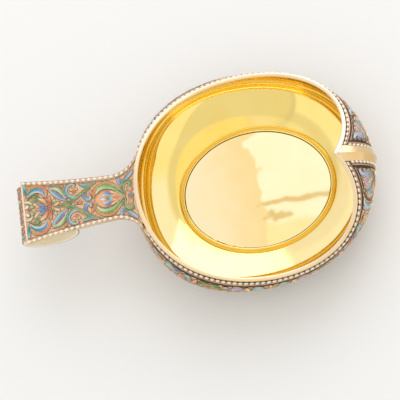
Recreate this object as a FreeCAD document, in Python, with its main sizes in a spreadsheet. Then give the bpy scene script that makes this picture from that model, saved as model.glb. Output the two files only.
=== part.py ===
import FreeCAD, Part
import Sketcher
import math
import os
from functools import lru_cache
from FreeCAD import Vector

# A kovsh, a Russian drinking ladle, of silver-gilt with cloisonne enamel.
# +X points at the prow, -X at the handle, +Z up; the origin is the centre of the foot's face.
# Port is the +Y side. Lengths are in millimetres. The bowl's forms are written for the port
# half, where a turn t runs from 0 at the prow to pi at the handle, and are mirrored.

SIZES = [
    ("foot_height", 4.0, "height of the oval foot"),
    ("foot_half_length", 41.0, "outside of the foot at the table"),
    ("foot_half_width", 33.6, "outside of the foot at the table"),
    ("foot_wall", 1.4, "thickness of the foot's strip"),
    ("foot_lean", 1.6, "how far the foot draws in from table to bowl"),
    ("foot_lip_width", 0.9, "flat lip round the foot's lower edge"),
    ("foot_lip_height", 0.9, "thickness of that lip"),
    ("floor_half_length", 36.8, "oval floor plate"),
    ("floor_half_width", 29.5, "oval floor plate"),
    ("floor_thickness", 1.2, "floor plate and the seat round it"),
    ("seat_width", 3.4, "flat seat between floor plate and wall"),
    ("seat_overlap", 0.9, "how far wall and seat run into each other"),
    ("seat_spare", 0.15, "seat thicker than the wall, above and below"),
    ("wall_thickness", 1.3, "raised silver wall"),
    ("belly_front", 59.9, "widest reach of the wall towards the prow"),
    ("belly_back", 58.2, "widest reach of the wall towards the handle"),
    ("belly_half_width", 54.0, "widest reach of the wall to each side"),
    ("belly_height", 23.2, "height of the widest line"),
    ("rim_front", 60.5, "reach of the rim's lobes if it had no notch"),
    ("rim_back", 53.0, "inner edge of the rim at the handle"),
    ("rim_half_width", 49.7, "inner edge of the rim at the side"),
    ("rim_height", 27.6, "height of the rim without its two rises"),
    ("notch_depth", 17.7, "how far the rim turns in at the prow"),
    ("prow_rise", 16.0, "rise of the rim at the prow"),
    ("handle_rise", 12.5, "rise of the rim at the handle"),
    ("moulding_width", 2.0, "plain band on the rim"),
    ("moulding_height", 1.2, "plain band on the rim"),
    ("moulding_crown", 0.25, "rounding of the plain band's top"),
    ("enamel_thickness", 0.6, "cloisonne enamel over the metal"),
    ("bead_width", 2.2, "bead border"),
    ("bead_height", 0.9, "bead border"),
    ("border_gap", 1.0, "from the moulding down to the bead border"),
    ("field_margin", 5.0, "bare metal between the enamelled field and the seat"),
    ("keel_margin", 4.0, "bare metal between the keel band and the seat"),
    ("keel_gap", 0.7, "from the moulding down to the keel band"),
    ("keel_half_width", 3.9, "plain keel band at the rim"),
    ("keel_half_width_low", 2.6, "plain keel band at the foot"),
    ("keel_ridge", 1.7, "thickness of the keel band at its ridge"),
    ("keel_edge", 0.6, "thickness of the keel band at its edges"),
    ("panel_length", 19.0, "framed panel beside the keel, measured round the bowl"),
    ("panel_gap", 0.7, "bare line round the framed panel"),
    ("handle_end", 111.8, "free end of the handle, from the centre"),
    ("handle_end_half_width", 16.2, "handle at its free end"),
    ("handle_neck", 66.0, "narrowest place, from the centre"),
    ("handle_neck_half_width", 11.4, "handle at the neck"),
    ("handle_side_radius", 376.0, "long hollow of the handle's sides"),
    ("handle_root", 53.4, "where the flared root meets the rim"),
    ("handle_root_radius", 14.6, "hollow of the flared root"),
    ("handle_root_reach", 5.0, "spare length of the plate before it is cut to the wall"),
    ("handle_height", 37.0, "top of the handle's enamel"),
    ("handle_thickness", 1.4, "handle plate"),
    ("end_wire_width", 1.0, "plain wire across the handle's end"),
    ("root_clear", 1.5, "bare wall between the handle's plate and the field under it"),
    ("hook_radius", 12.0, "curl under the handle's end"),
    ("hook_forward_radius", 15.5, "forward half of the curl"),
    ("hook_set_in", 8.2, "middle of the curl, in from the handle's free end"),
    ("hook_run", 2.1, "flat stretch at the bottom of the curl"),
    ("hook_drop", 7.0, "middle of the curl, below the handle's top"),
    ("hook_thickness", 1.1, "strap of the curl"),
    ("hook_half_width", 14.2, "strap of the curl at the handle's end"),
    ("hook_half_width_front", 12.0, "strap of the curl where it comes back to the plate"),
    ("hook_border", 1.0, "edge wires of the curl"),
    ("overrun", 5.0, "how far cutting shapes run past what they cut"),
]

# Pure numbers: shares of the sizes above, and how many places a form is worked out at.
RIM_SQUARE_SHARE = 0.025
RIM_FULLNESS_SHARE = 0.09
RIM_FORWARD_SHARE = 0.047
BELLY_FULLNESS_SHARE = 0.10
NOTCH_SPREAD_SHARE = 0.466
PROW_SPREAD_SHARE = 0.548
HANDLE_RISE_POWER = 3.5
RIM_LEAN = math.radians(60)
FOOT_LEAN = math.radians(74)
ROOT_TURN = math.pi - 0.385
ROOT_SPARE_TURN = 0.15
SMALL_TURN = 0.002
COUNT_ROUND = 17
COUNT_DOWN = 13
COUNT_BORDER = 33
COUNT_KEEL = 9
COUNT_ACROSS = 5
COUNT_NARROW = 3
COUNT_OF_ROWS = 30
COUNT_OF_HALVINGS = 22
COUNT_OF_SETTLINGS = 4

doc = FreeCAD.newDocument("kovsh")
sheet = doc.addObject("Spreadsheet::Sheet", "sizes")
for row, (alias, value, note) in enumerate(SIZES, start=1):
    sheet.set("A%d" % row, alias)
    sheet.set("B%d" % row, str(value))
    sheet.set("C%d" % row, note)
    sheet.setAlias("B%d" % row, alias)
doc.recompute()


class Sizes:
    """Reads a driving dimension from the sheet as size.name."""

    @lru_cache(maxsize=None)
    def __getattr__(self, name):
        return float(sheet.get(name))


size = Sizes()
nodes = []


def keep(shape_object, label):
    """Gives a sub-part the label that names its file."""
    shape_object.Label = label
    nodes.append(shape_object)
    return shape_object


def helper(shape_object, label):
    """Labels a shape that only serves to make another."""
    shape_object.Label = label + "_blank"
    return shape_object


def mirrored(point):
    return Vector(point.x, -point.y, point.z)


# The bowl's guiding curves


def oval(front, back, half_width, square, fullness, forward, t):
    """A rounded oval in plan: reach to the prow and handle, half width, and three shares of shape."""
    mean = (front + back) / 2
    centre = (front - back) / 2 - square * mean
    x = centre + mean * math.cos(t) + square * mean * math.cos(2 * t)
    y = half_width * math.sin(t) * (1 + forward * math.cos(t) + fullness * math.cos(t) ** 2)
    return Vector(x, y, 0)


def rim_edge(t):
    """Inner edge of the rim: an oval notched at the prow, rising to the prow and to the handle."""
    point = oval(size.rim_front, size.rim_back, size.rim_half_width,
                 RIM_SQUARE_SHARE, RIM_FULLNESS_SHARE, RIM_FORWARD_SHARE, t)
    point.x -= size.notch_depth * math.exp(-t / NOTCH_SPREAD_SHARE)
    towards_handle = (1 - math.cos(t)) / 2
    point.z = (size.rim_height + size.handle_rise * towards_handle ** HANDLE_RISE_POWER
               + size.prow_rise * math.exp(-t / PROW_SPREAD_SHARE))
    return point


def beside_rim(t, distance):
    """The rim's edge moved level outwards, square to its run."""
    along = rim_edge(t + SMALL_TURN) - rim_edge(t - SMALL_TURN)
    along.z = 0
    return rim_edge(t) + Vector(along.y, -along.x, 0).normalize() * distance


@lru_cache(maxsize=None)
def cusp_turn(distance):
    """The turn at which the moved edge of the port side crosses the plane of the keel."""
    low, high = 0.0, NOTCH_SPREAD_SHARE
    for halving in range(COUNT_OF_HALVINGS):
        middle = (low + high) / 2
        if beside_rim(middle, distance).y < 0:
            low = middle
        else:
            high = middle
    return high


def across_rim(t, distance):
    """The rim's edge moved outwards and ended at the keel's plane, so that the halves meet there."""
    start = cusp_turn(distance)
    point = beside_rim(start + t * (math.pi - start) / math.pi, distance)
    if t in (0, math.pi):
        point.y = 0
    return point


def belly(t, inset):
    point = oval(size.belly_front - inset, size.belly_back - inset, size.belly_half_width - inset,
                 RIM_SQUARE_SHARE, BELLY_FULLNESS_SHARE, 0, t)
    point.z = size.belly_height
    return point


def foot_line(t, inset):
    """Where the wall reaches the seat."""
    reach = size.seat_width - size.seat_overlap - inset
    x = (size.floor_half_length + reach) * math.cos(t)
    y = (size.floor_half_width + reach) * math.sin(t)
    return Vector(x, y, size.foot_height + size.seat_spare + inset)


def meridian(t, row, inset):
    """A line up the wall: row 0 at the foot, 1 at the widest line, 2 under the rim moulding.

    An inset of 0 gives the outside of the wall, and the wall's thickness gives its inside."""
    if row <= 1:
        low, mid = foot_line(t, inset), belly(t, inset)
        turn = FOOT_LEAN * (1 - row)
        out = 1 - (1 - math.cos(turn)) / (1 - math.cos(FOOT_LEAN))
        rise = 1 - math.sin(turn) / math.sin(FOOT_LEAN)
        point = low + (mid - low) * out
        point.z = low.z + (mid.z - low.z) * rise
        return point
    mid = belly(t, inset)
    top = across_rim(t, size.wall_thickness - inset)
    turn = RIM_LEAN * (row - 1)
    point = mid + (top - mid) * (1 - math.cos(turn)) / (1 - math.cos(RIM_LEAN))
    height = top.z - size.moulding_height - mid.z
    point.z = mid.z + height * math.sin(turn) / math.sin(RIM_LEAN)
    return point


def outside(t, row):
    """The wall's outside all the way round: past the handle the port side is mirrored."""
    if t > math.pi:
        return mirrored(meridian(2 * math.pi - t, row, 0))
    return meridian(t, row, 0)


@lru_cache(maxsize=None)
def wall_runs(t):
    """Lengths of the equal steps of row down the wall, from the rim moulding to the seat."""
    places = [outside(t, 2 - 2 * step / COUNT_OF_ROWS) for step in range(COUNT_OF_ROWS + 1)]
    return [(upper - lower).Length for upper, lower in zip(places, places[1:])]


def row_at(t, depth):
    """The row that lies a given length down the wall from the rim moulding."""
    step = 0
    runs = wall_runs(t)
    while step < COUNT_OF_ROWS - 1 and depth > runs[step]:
        depth -= runs[step]
        step += 1
    return max(2 - 2 * (step + depth / runs[step]) / COUNT_OF_ROWS, 0)


def depth_at_height(t, height):
    """The length down the wall, from the rim moulding, of the place at a height over the table."""
    low, high = 0.0, sum(wall_runs(t))
    for halving in range(COUNT_OF_HALVINGS):
        middle = (low + high) / 2
        if outside(t, row_at(t, middle)).z > height:
            low = middle
        else:
            high = middle
    return low


def on_wall(t, depth, height, lengthwise=False):
    """A place over the wall: a turn, a length down from the rim, a height above the metal.

    The height is square to the wall, or in the keel's own plane where it is taken lengthwise."""
    row = row_at(t, depth)
    foot = outside(t, row)
    round_bowl = outside(t + SMALL_TURN, row) - outside(max(t - SMALL_TURN, 0), row)
    low_row, high_row = max(row - SMALL_TURN, 0), min(row + SMALL_TURN, 2)
    up_wall = outside(t, high_row) - outside(t, low_row)
    outward = round_bowl.cross(up_wall)
    if lengthwise:
        outward.y = 0
    return foot + outward.normalize() * height


@lru_cache(maxsize=None)
def turn_beside_keel(depth, distance):
    """The turn at which the wall is a given distance from the keel's plane."""
    low, high = 0.0, 1.0
    for halving in range(COUNT_OF_HALVINGS):
        middle = (low + high) / 2
        if outside(middle, row_at(middle, depth)).y < distance:
            low = middle
        else:
            high = middle
    return (low + high) / 2


# Solids between two grids of places


def spread(start, end, places):
    """Evenly spaced numbers from start to end, both exact."""
    numbers = [start + (end - start) * place / (places - 1) for place in range(places)]
    numbers[-1] = end
    return numbers


def curve_through(places):
    """A smooth curve through places that its parameter meets at even steps."""
    curve = Part.BSplineCurve()
    curve.interpolate(Points=places, Parameters=spread(0, 1, len(places)))
    return curve


def spline_frame(curve):
    return curve.getMultiplicities(), curve.getKnots(), curve.Degree


def face_of_poles(poles, frame_along, frame_across):
    """A face from rows of poles, with the knots of two curves."""
    surface = Part.BSplineSurface()
    surface.buildFromPolesMultsKnots(poles, frame_along[0], frame_across[0], frame_along[1],
                                     frame_across[1], False, False, frame_along[2], frame_across[2])
    return surface.toShape()


def poles_through(grid):
    """The poles of a surface through a grid of places, and the knots along and across it."""
    rows = [curve_through(row) for row in grid]
    columns = [curve_through(list(column)) for column in zip(*[row.getPoles() for row in rows])]
    poles = [list(row) for row in zip(*[column.getPoles() for column in columns])]
    return poles, spline_frame(columns[0]), spline_frame(rows[0])


def solid_between(under_grid, over_grid):
    """A closed solid between an under surface and an over surface with the same places."""
    under, along, across = poles_through(under_grid)
    over, along, across = poles_through(over_grid)
    straight = ([2, 2], [0, 1], 1)
    faces = [face_of_poles(under, along, across), face_of_poles(over, along, across)]
    for place in (0, -1):
        faces.append(face_of_poles([under[place], over[place]], straight, across))
        under_edge, over_edge = [row[place] for row in under], [row[place] for row in over]
        faces.append(face_of_poles([under_edge, over_edge], straight, along))
    shell = Part.makeShell(faces)
    shell.sewShape()
    solid = Part.makeSolid(shell)
    if solid.Volume < 0:
        solid.reverse()
    return solid


def feature(shape, label):
    holder = doc.addObject("Part::Feature", label)
    holder.Shape = shape
    return holder


def mirror_of(source, label):
    """The same piece on the other side of the keel."""
    mirror = doc.addObject("Part::Mirroring", label)
    mirror.Source = source
    mirror.Normal = Vector(0, 1, 0)
    mirror.Base = Vector(0, 0, 0)
    return mirror


def both_halves(half, label, *others):
    """One piece made of the port half, its mirror and any other shapes that belong to it."""
    starboard = helper(mirror_of(half, label + "_starboard_half"), label + "_starboard_half")
    fused = doc.addObject("Part::MultiFuse", label)
    fused.Shapes = [half, starboard] + list(others)
    fused.Refine = False
    return keep(fused, label)


# Pieces with a body of sketches


def plane_of(body, role):
    return [item for item in body.Origin.OriginFeatures if item.Role == role][0]


def new_sketch(body, name, role, lift=None):
    """A sketch on one of the body's origin planes, lifted by an expression where one is given."""
    sketch = body.newObject("Sketcher::SketchObject", name)
    sketch.AttachmentSupport = [(plane_of(body, role), "")]
    sketch.MapMode = "FlatFace"
    if lift:
        sketch.setExpression("AttachmentOffset.Base.z", lift)
    return sketch


def bind(sketch, constraint, expression):
    """Adds a constraint whose value comes from the sheet."""
    place = sketch.addConstraint(constraint)
    sketch.setExpression("Constraints[%d]" % place, expression)
    return place


def draw_ellipse(sketch, half_length, half_width):
    """An ellipse about the origin, given by two expressions for its half axes."""
    long_axis, short_axis = 2.0, 1.0
    ellipse = Part.Ellipse(Vector(long_axis, 0, 0), Vector(0, short_axis, 0), Vector(0, 0, 0))
    curve = sketch.addGeometry(ellipse, False)
    sketch.exposeInternalGeometry(curve)
    sketch.addConstraint(Sketcher.Constraint("Coincident", curve, 3, -1, 1))
    major, minor = curve + 1, curve + 2
    sketch.addConstraint(Sketcher.Constraint("Horizontal", major))
    bind(sketch, Sketcher.Constraint("Distance", major, long_axis * 2), "2 * (%s)" % half_length)
    bind(sketch, Sketcher.Constraint("Distance", minor, short_axis * 2), "2 * (%s)" % half_width)


def pad(body, sketch, name, length, reversed_way=False, both_ways=False):
    added = body.newObject("PartDesign::Pad", name)
    added.Profile = sketch
    added.setExpression("Length", length)
    added.Reversed = reversed_way
    added.Midplane = both_ways
    return added


def cut_ellipse(body, name, half_length, half_width, base, depth):
    """Cuts an oval hole upwards from a level through a depth, both given as expressions."""
    sketch = new_sketch(body, name + "_sketch", "XY_Plane", base)
    draw_ellipse(sketch, half_length, half_width)
    pocket = body.newObject("PartDesign::Pocket", name)
    pocket.Profile = sketch
    pocket.setExpression("Length", depth)
    pocket.Reversed = True
    return pocket


def oval_plate(label, half_length, half_width, base, thickness):
    body = doc.addObject("PartDesign::Body", label)
    sketch = new_sketch(body, label + "_outline", "XY_Plane", base)
    draw_ellipse(sketch, half_length, half_width)
    pad(body, sketch, label + "_pad", thickness)
    return body


# The bowl


def make_floor_plate():
    keep(oval_plate("floor_plate", "sizes.floor_half_length", "sizes.floor_half_width",
                    "sizes.foot_height", "sizes.floor_thickness"), "floor_plate")


def leaning_oval(body, name, kind, inset):
    """A ruled loft from an oval at the table to a smaller one under the bowl, added or taken away."""
    sketches = []
    for place, lean, lift in (("low", "0", None), ("high", "sizes.foot_lean", "sizes.foot_height")):
        sketch = new_sketch(body, name + "_" + place, "XY_Plane", lift)
        draw_ellipse(sketch, "sizes.foot_half_length - %s - %s" % (inset, lean),
                     "sizes.foot_half_width - %s - %s" % (inset, lean))
        sketches.append(sketch)
    loft = body.newObject("PartDesign::" + kind, name)
    loft.Profile = sketches[0]
    loft.Sections = [sketches[1]]
    loft.Ruled = True


def make_foot_ring():
    """A strip bent to an oval, leaning in towards the bowl, with a flat lip at the table."""
    body = doc.addObject("PartDesign::Body", "foot_ring")
    leaning_oval(body, "foot_strip", "AdditiveLoft", "0 * sizes.foot_wall")
    lip_outline = new_sketch(body, "foot_lip_outline", "XY_Plane")
    draw_ellipse(lip_outline, "sizes.foot_half_length + sizes.foot_lip_width",
                 "sizes.foot_half_width + sizes.foot_lip_width")
    pad(body, lip_outline, "foot_lip", "sizes.foot_lip_height")
    leaning_oval(body, "foot_hollow", "SubtractiveLoft", "sizes.foot_wall")
    keep(body, "foot_ring")


def make_seat():
    """The flat seat round the floor plate, into which the wall runs."""
    seat = oval_plate("seat", "sizes.floor_half_length + sizes.seat_width",
                      "sizes.floor_half_width + sizes.seat_width", "sizes.foot_height",
                      "sizes.wall_thickness + 2 * sizes.seat_spare")
    cut_ellipse(seat, "seat_hole", "sizes.floor_half_length", "sizes.floor_half_width",
                "sizes.foot_height", "sizes.wall_thickness + 2 * sizes.seat_spare")
    return helper(seat, "seat")


def wall_half():
    """The port half of the wall, from lines that run from the rim moulding down to the seat."""
    outer, inner = [], []
    for t in spread(0, math.pi, COUNT_ROUND):
        rows = [row_at(t, depth) for depth in spread(0, sum(wall_runs(t)), COUNT_DOWN)]
        outer.append([meridian(t, row, 0) for row in rows])
        inner.append([meridian(t, row, size.wall_thickness) for row in rows])
    return solid_between(inner, outer)


def make_bowl_shell():
    """The raised bowl: one wall, heart-shaped at the rim, folded at the prow."""
    half = helper(feature(wall_half(), "bowl_port_half"), "bowl_port_half")
    return both_halves(half, "bowl_shell", make_seat())


def make_rim_moulding():
    """The plain gilt band that caps the wall, gently rounded on top."""
    turns, shares = spread(0, math.pi, COUNT_BORDER), spread(0, 1, COUNT_ACROSS)
    under, over = [], []
    for t in turns:
        level = Vector(0, 0, size.moulding_height)
        places = [across_rim(t, size.moulding_width * share) for share in shares]
        crowns = [size.moulding_crown * math.sin(math.pi * share) for share in shares]
        under.append([place - level for place in places])
        over.append([place + Vector(0, 0, crown) for place, crown in zip(places, crowns)])
    half = helper(feature(solid_between(under, over), "moulding_port_half"), "moulding_port_half")
    both_halves(half, "rim_moulding")


def keel_length():
    return sum(wall_runs(0)) - size.keel_margin


def keel_half_width(depth):
    share = depth / keel_length()
    return size.keel_half_width + (size.keel_half_width_low - size.keel_half_width) * share


def make_keel_strip():
    """The plain band over the fold of the prow: two facets that meet in a ridge."""
    under, over = [], []
    for depth in spread(size.keel_gap, keel_length(), COUNT_KEEL):
        edge_turn = turn_beside_keel(depth, keel_half_width(depth))
        turns = spread(0, edge_turn, COUNT_ACROSS)
        heights = spread(size.keel_ridge, size.keel_edge, COUNT_ACROSS)
        under.append([on_wall(t, depth, 0) for t in turns])
        over.append([on_wall(t, depth, height, True) for t, height in zip(turns, heights)])
    half = helper(feature(solid_between(under, over), "keel_port_half"), "keel_port_half")
    both_halves(half, "keel_strip")


def wall_strip(label, turn_from, turn_to, depth_from, depth_to, height, places_round, places_down):
    """A layer on the wall between two turns, which may change with depth, and two depths, which may
    change with the turn."""
    under, over = [], []
    for round_share in spread(0, 1, places_round):
        low_line, high_line = [], []
        for down_share in spread(0, 1, places_down):
            depth = 0
            for settling in range(COUNT_OF_SETTLINGS):
                t = turn_from(depth) + (turn_to(depth) - turn_from(depth)) * round_share
                depth = depth_from(t) + (depth_to(t) - depth_from(t)) * down_share
            low_line.append(on_wall(t, depth, 0))
            high_line.append(on_wall(t, depth, height))
        under.append(low_line)
        over.append(high_line)
    return feature(solid_between(under, over), label)


def beside_keel(distance):
    """The turn of a line that follows the keel band's edge at a distance."""
    return lambda depth: turn_beside_keel(depth, keel_half_width(depth) + distance)


def at_turn(t):
    return lambda depth: t


def below_rim(depth):
    return lambda t: depth


def below_handle(t):
    """The depth of the bare line under the handle's plate."""
    plate_low = size.handle_height - size.enamel_thickness - size.handle_thickness
    return depth_at_height(t, plate_low - size.root_clear)


def above_seat(margin):
    return lambda t: sum(wall_runs(t)) - margin


def pair(port_piece, name):
    """Keeps a piece of the port side and its mirror on the starboard side."""
    keep(port_piece, name + "_port")
    keep(mirror_of(port_piece, name + "_starboard"), name + "_starboard")


def make_borders():
    """Rows of enamel beads between wires: under the rim, beside the keel and below the field."""
    field_top = size.border_gap + size.bead_width
    field_low = size.field_margin + size.bead_width
    rim_beads = wall_strip("rim_beads", beside_keel(0), at_turn(ROOT_TURN), below_rim(size.border_gap),
                           below_rim(field_top), size.bead_height, COUNT_BORDER, COUNT_NARROW)
    pair(rim_beads, "rim_bead_border")
    keel_beads = wall_strip("keel_beads", beside_keel(0), beside_keel(size.bead_width),
                            below_rim(field_top), above_seat(field_low), size.bead_height,
                            COUNT_NARROW, COUNT_DOWN)
    pair(keel_beads, "keel_bead_border")
    low_beads = wall_strip("low_beads", beside_keel(0), at_turn(math.pi), above_seat(field_low),
                           above_seat(size.field_margin), size.bead_height, COUNT_BORDER,
                           COUNT_NARROW)
    pair(low_beads, "low_bead_border")


def make_enamel():
    """The cloisonne layer: a framed panel beside the keel, the long field, and the field aft."""
    field_top = size.border_gap + size.bead_width
    field_low = size.field_margin + size.bead_width
    panel_start = size.bead_width + size.panel_gap
    panel_end = panel_start + size.panel_length
    panel = wall_strip("panel", beside_keel(panel_start), beside_keel(panel_end),
                       below_rim(field_top + size.panel_gap), above_seat(field_low + size.panel_gap),
                       size.enamel_thickness, COUNT_ACROSS, COUNT_DOWN)
    pair(panel, "prow_panel")
    field = wall_strip("field", beside_keel(panel_end + size.panel_gap), at_turn(ROOT_TURN),
                       below_rim(field_top), above_seat(field_low), size.enamel_thickness,
                       COUNT_ROUND, COUNT_DOWN)
    pair(field, "enamel_field")
    aft = wall_strip("aft", at_turn(ROOT_TURN), at_turn(2 * math.pi - ROOT_TURN), below_handle,
                     above_seat(field_low), size.enamel_thickness, COUNT_KEEL, COUNT_DOWN)
    keep(aft, "enamel_field_aft")


# The handle


def draw_loop(sketch, corners, radii):
    """A closed outline fixed by its corners. A corner is two signs, two expressions and a first guess;
    an edge is straight where its radius is None, else an arc whose hollow side is away from the
    point that the radius comes with."""
    edges = []
    count = len(corners)
    for place in range(count):
        start, end = corners[place]["guess"], corners[(place + 1) % count]["guess"]
        if radii[place] is None:
            curve = Part.LineSegment(start, end)
        else:
            curve = bulging_arc(start, end, radii[place][1], radii[place][2])
        edges.append(sketch.addGeometry(curve, False))

    def end_at(edge, spot):
        """The number of the edge's end, 1 or 2, that lies at a spot."""
        gaps = [(sketch.getPoint(edge, end) - spot).Length for end in (1, 2)]
        return 1 if gaps[0] < gaps[1] else 2

    ends = [(edges[place], end_at(edges[place], corners[place]["guess"])) for place in range(count)]
    for place in range(count):
        before = edges[place - 1]
        met = end_at(before, corners[place]["guess"])
        sketch.addConstraint(Sketcher.Constraint("Coincident", before, met, *ends[place]))
    for (edge, end), corner in zip(ends, corners):
        for kind, along, expression in (("DistanceX", corner["guess"].x, corner["x"]),
                                        ("DistanceY", corner["guess"].y, corner["y"])):
            if along > 0:
                bind(sketch, Sketcher.Constraint(kind, -1, 1, edge, end, along), expression)
            else:
                bind(sketch, Sketcher.Constraint(kind, edge, end, -1, 1, -along), expression)
    for edge, radius in zip(edges, radii):
        if radius is not None:
            bind(sketch, Sketcher.Constraint("Radius", edge, radius[1]), radius[0])


def corner(x_expression, y_expression, x, y):
    return {"x": x_expression, "y": y_expression, "guess": Vector(x, y, 0)}


def bulging_arc(start, end, radius, towards):
    """An arc between two places that swells towards a point."""
    middle = (start + end) / 2
    half_chord = (end - start).Length / 2
    sagitta = radius - math.sqrt(radius ** 2 - half_chord ** 2)
    across = Vector(end.y - start.y, start.x - end.x, 0).normalize()
    if across.dot(towards - middle) < 0:
        across = across * -1
    return Part.Arc(start, middle + across * sagitta, end)


def side_corners(side, inset, inset_size):
    """Free end, neck and root corner of one side of the handle, moved in by an inset."""
    end_y = size.handle_end_half_width - inset_size
    neck_y = size.handle_neck_half_width - inset_size
    rise = size.handle_root_radius + inset_size
    run = size.handle_neck - size.handle_root
    root_y = size.handle_neck_half_width + size.handle_root_radius - math.sqrt(rise ** 2 - run ** 2)
    end = "sizes.handle_end_half_width - " + inset
    neck = "sizes.handle_neck_half_width - " + inset
    root = ("sizes.handle_neck_half_width + sizes.handle_root_radius"
            " - sqrt((sizes.handle_root_radius + %s)^2"
            " - (sizes.handle_neck - sizes.handle_root)^2)" % inset)
    return [corner("sizes.handle_end", end, -size.handle_end, side * end_y),
            corner("sizes.handle_neck", neck, -size.handle_neck, side * neck_y),
            corner("sizes.handle_root", root, -size.handle_root, side * root_y)]


def side_radii(inset, inset_size, middle):
    """The long hollow and the root hollow of one side; both swell towards the handle's middle."""
    return [("sizes.handle_side_radius + " + inset, size.handle_side_radius + inset_size, middle),
            ("sizes.handle_root_radius + " + inset, size.handle_root_radius + inset_size, middle)]


def handle_blank(label, inset, inset_size, base, thickness):
    """A slab of the handle's waisted outline, long enough at the root to be cut to the wall."""
    body = doc.addObject("PartDesign::Body", label)
    sketch = new_sketch(body, label + "_outline", "XY_Plane", base)
    middle = Vector(-size.handle_neck, 0, 0)
    port, starboard = side_corners(1, inset, inset_size), side_corners(-1, inset, inset_size)
    reach_x = -size.handle_root + size.handle_root_reach
    reach = "sizes.handle_root - sizes.handle_root_reach"
    ends = [corner(reach, port[2]["y"], reach_x, port[2]["guess"].y),
            corner(reach, starboard[2]["y"], reach_x, starboard[2]["guess"].y)]
    radii = side_radii(inset, inset_size, middle)
    draw_loop(sketch, port + ends + starboard[::-1], radii + [None] * 3 + radii[::-1] + [None])
    pad(body, sketch, label + "_pad", thickness)
    return body


def wall_block():
    """The space from the wall's outside level inwards, to cut the handle's root with."""
    span = size.handle_root_reach * 2
    plate_drop = size.rim_height + size.handle_rise - size.handle_height
    under, over = [], []
    first_turn = ROOT_TURN - ROOT_SPARE_TURN
    for t in spread(first_turn, 2 * math.pi - first_turn, COUNT_ROUND):
        line = [on_wall(t, depth, 0) for depth in spread(0, span + plate_drop, COUNT_KEEL)]
        over.append(line)
        under.append([place + Vector(span, 0, 0) for place in line])
    return helper(feature(solid_between(under, over), "root_wall"), "root_wall")


def boolean(kind, label, base, tool):
    result = doc.addObject("Part::" + kind, label)
    result.Base = base
    result.Tool = tool
    return result


def make_handle():
    """The flat handle: a waisted plate, its enamel, bead borders and a plain wire across the end."""
    wall = wall_block()
    level, inset = "0 * sizes.bead_width", "sizes.bead_width"
    plate_base = "sizes.handle_height - sizes.enamel_thickness - sizes.handle_thickness"
    enamel_base = "sizes.handle_height - sizes.enamel_thickness"
    blank = handle_blank("plate_slab", level, 0, plate_base, "sizes.handle_thickness")
    keep(boolean("Cut", "handle_plate", helper(blank, "plate_slab"), wall), "handle_plate")
    enamel = handle_blank("enamel_slab", inset, size.bead_width, enamel_base, "sizes.enamel_thickness")
    helper(enamel, "enamel_slab")
    end_zone = doc.addObject("Part::Box", "end_zone")
    end_zone.setExpression("Length", "sizes.end_wire_width")
    end_zone.setExpression("Width", "2 * sizes.handle_end_half_width")
    end_zone.setExpression("Height", "2 * sizes.enamel_thickness")
    end_zone.setExpression("Placement.Base.x", "-sizes.handle_end")
    end_zone.setExpression("Placement.Base.y", "-sizes.handle_end_half_width")
    end_zone.setExpression("Placement.Base.z", enamel_base)
    helper(end_zone, "end_zone")
    keep(boolean("Common", "handle_end_wire", enamel, end_zone), "handle_end_wire")
    shorter = helper(boolean("Cut", "enamel_short", enamel, end_zone), "enamel_short")
    keep(boolean("Cut", "handle_enamel", shorter, wall), "handle_enamel")
    border = doc.addObject("PartDesign::Body", "handle_border")
    sketch = new_sketch(border, "border_outline", "XY_Plane", enamel_base)
    outer = side_corners(1, level, 0)
    inner = side_corners(1, inset, size.bead_width)
    middle = Vector(-size.handle_neck, 0, 0)
    radii = side_radii(level, 0, middle) + [None]
    radii += side_radii(inset, size.bead_width, middle)[::-1] + [None]
    draw_loop(sketch, outer + inner[::-1], radii)
    pad(border, sketch, "border_pad", "sizes.bead_height")
    helper(border, "handle_border")
    pair(boolean("Cut", "handle_border_short", border, wall), "handle_bead_border")


# The curl under the handle's end


def hook_centre():
    return size.handle_end - size.hook_set_in


def curl_line(inset, inset_size):
    """Half of the curl's section, from the plate's end round to the plate's underside, moved in."""
    top = size.handle_height
    centre_z = top - size.hook_drop
    bottom_z = centre_z - size.hook_radius + inset_size
    forward_x = hook_centre() - size.hook_run
    front_x = forward_x - size.hook_forward_radius + inset_size
    front_z = centre_z - size.hook_radius + size.hook_forward_radius
    plate_z = top - size.enamel_thickness - size.handle_thickness
    aft_x = hook_centre() + size.hook_radius - inset_size
    centre = "sizes.handle_height - sizes.hook_drop"
    aft = "sizes.handle_end - sizes.hook_set_in + sizes.hook_radius - " + inset
    bottom = centre + " - sizes.hook_radius + " + inset
    forward = "sizes.handle_end - sizes.hook_set_in - sizes.hook_run"
    front = forward + " - sizes.hook_forward_radius + " + inset
    front_height = centre + " - sizes.hook_radius + sizes.hook_forward_radius"
    plate_height = "sizes.handle_height - sizes.enamel_thickness - sizes.handle_thickness"
    corners = [
        corner("sizes.handle_end", "sizes.handle_height - " + inset, -size.handle_end, top - inset_size),
        corner(aft, centre, -aft_x, centre_z),
        corner("sizes.handle_end - sizes.hook_set_in", bottom, -hook_centre(), bottom_z),
        corner(forward, bottom, -forward_x, bottom_z),
        corner(front, front_height, -front_x, front_z),
        corner(front, plate_height, -front_x, plate_z)]
    bulge = "(sizes.hook_radius - sizes.hook_set_in - %s)" % inset
    drop = "(sizes.hook_drop - %s)" % inset
    bulge_size = size.hook_radius - size.hook_set_in - inset_size
    drop_size = size.hook_drop - inset_size
    end_radius = (bulge_size ** 2 + drop_size ** 2) / (2 * bulge_size)
    aft_low = Vector(-aft_x, bottom_z, 0)
    aft_high = Vector(-aft_x, top, 0)
    front_low = Vector(-front_x, bottom_z, 0)
    radii = [("(%s^2 + %s^2) / (2 * %s)" % (bulge, drop, bulge), end_radius, aft_high),
             ("sizes.hook_radius - " + inset, size.hook_radius - inset_size, aft_low),
             None,
             ("sizes.hook_forward_radius - " + inset, size.hook_forward_radius - inset_size, front_low),
             None]
    return corners, radii


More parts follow.
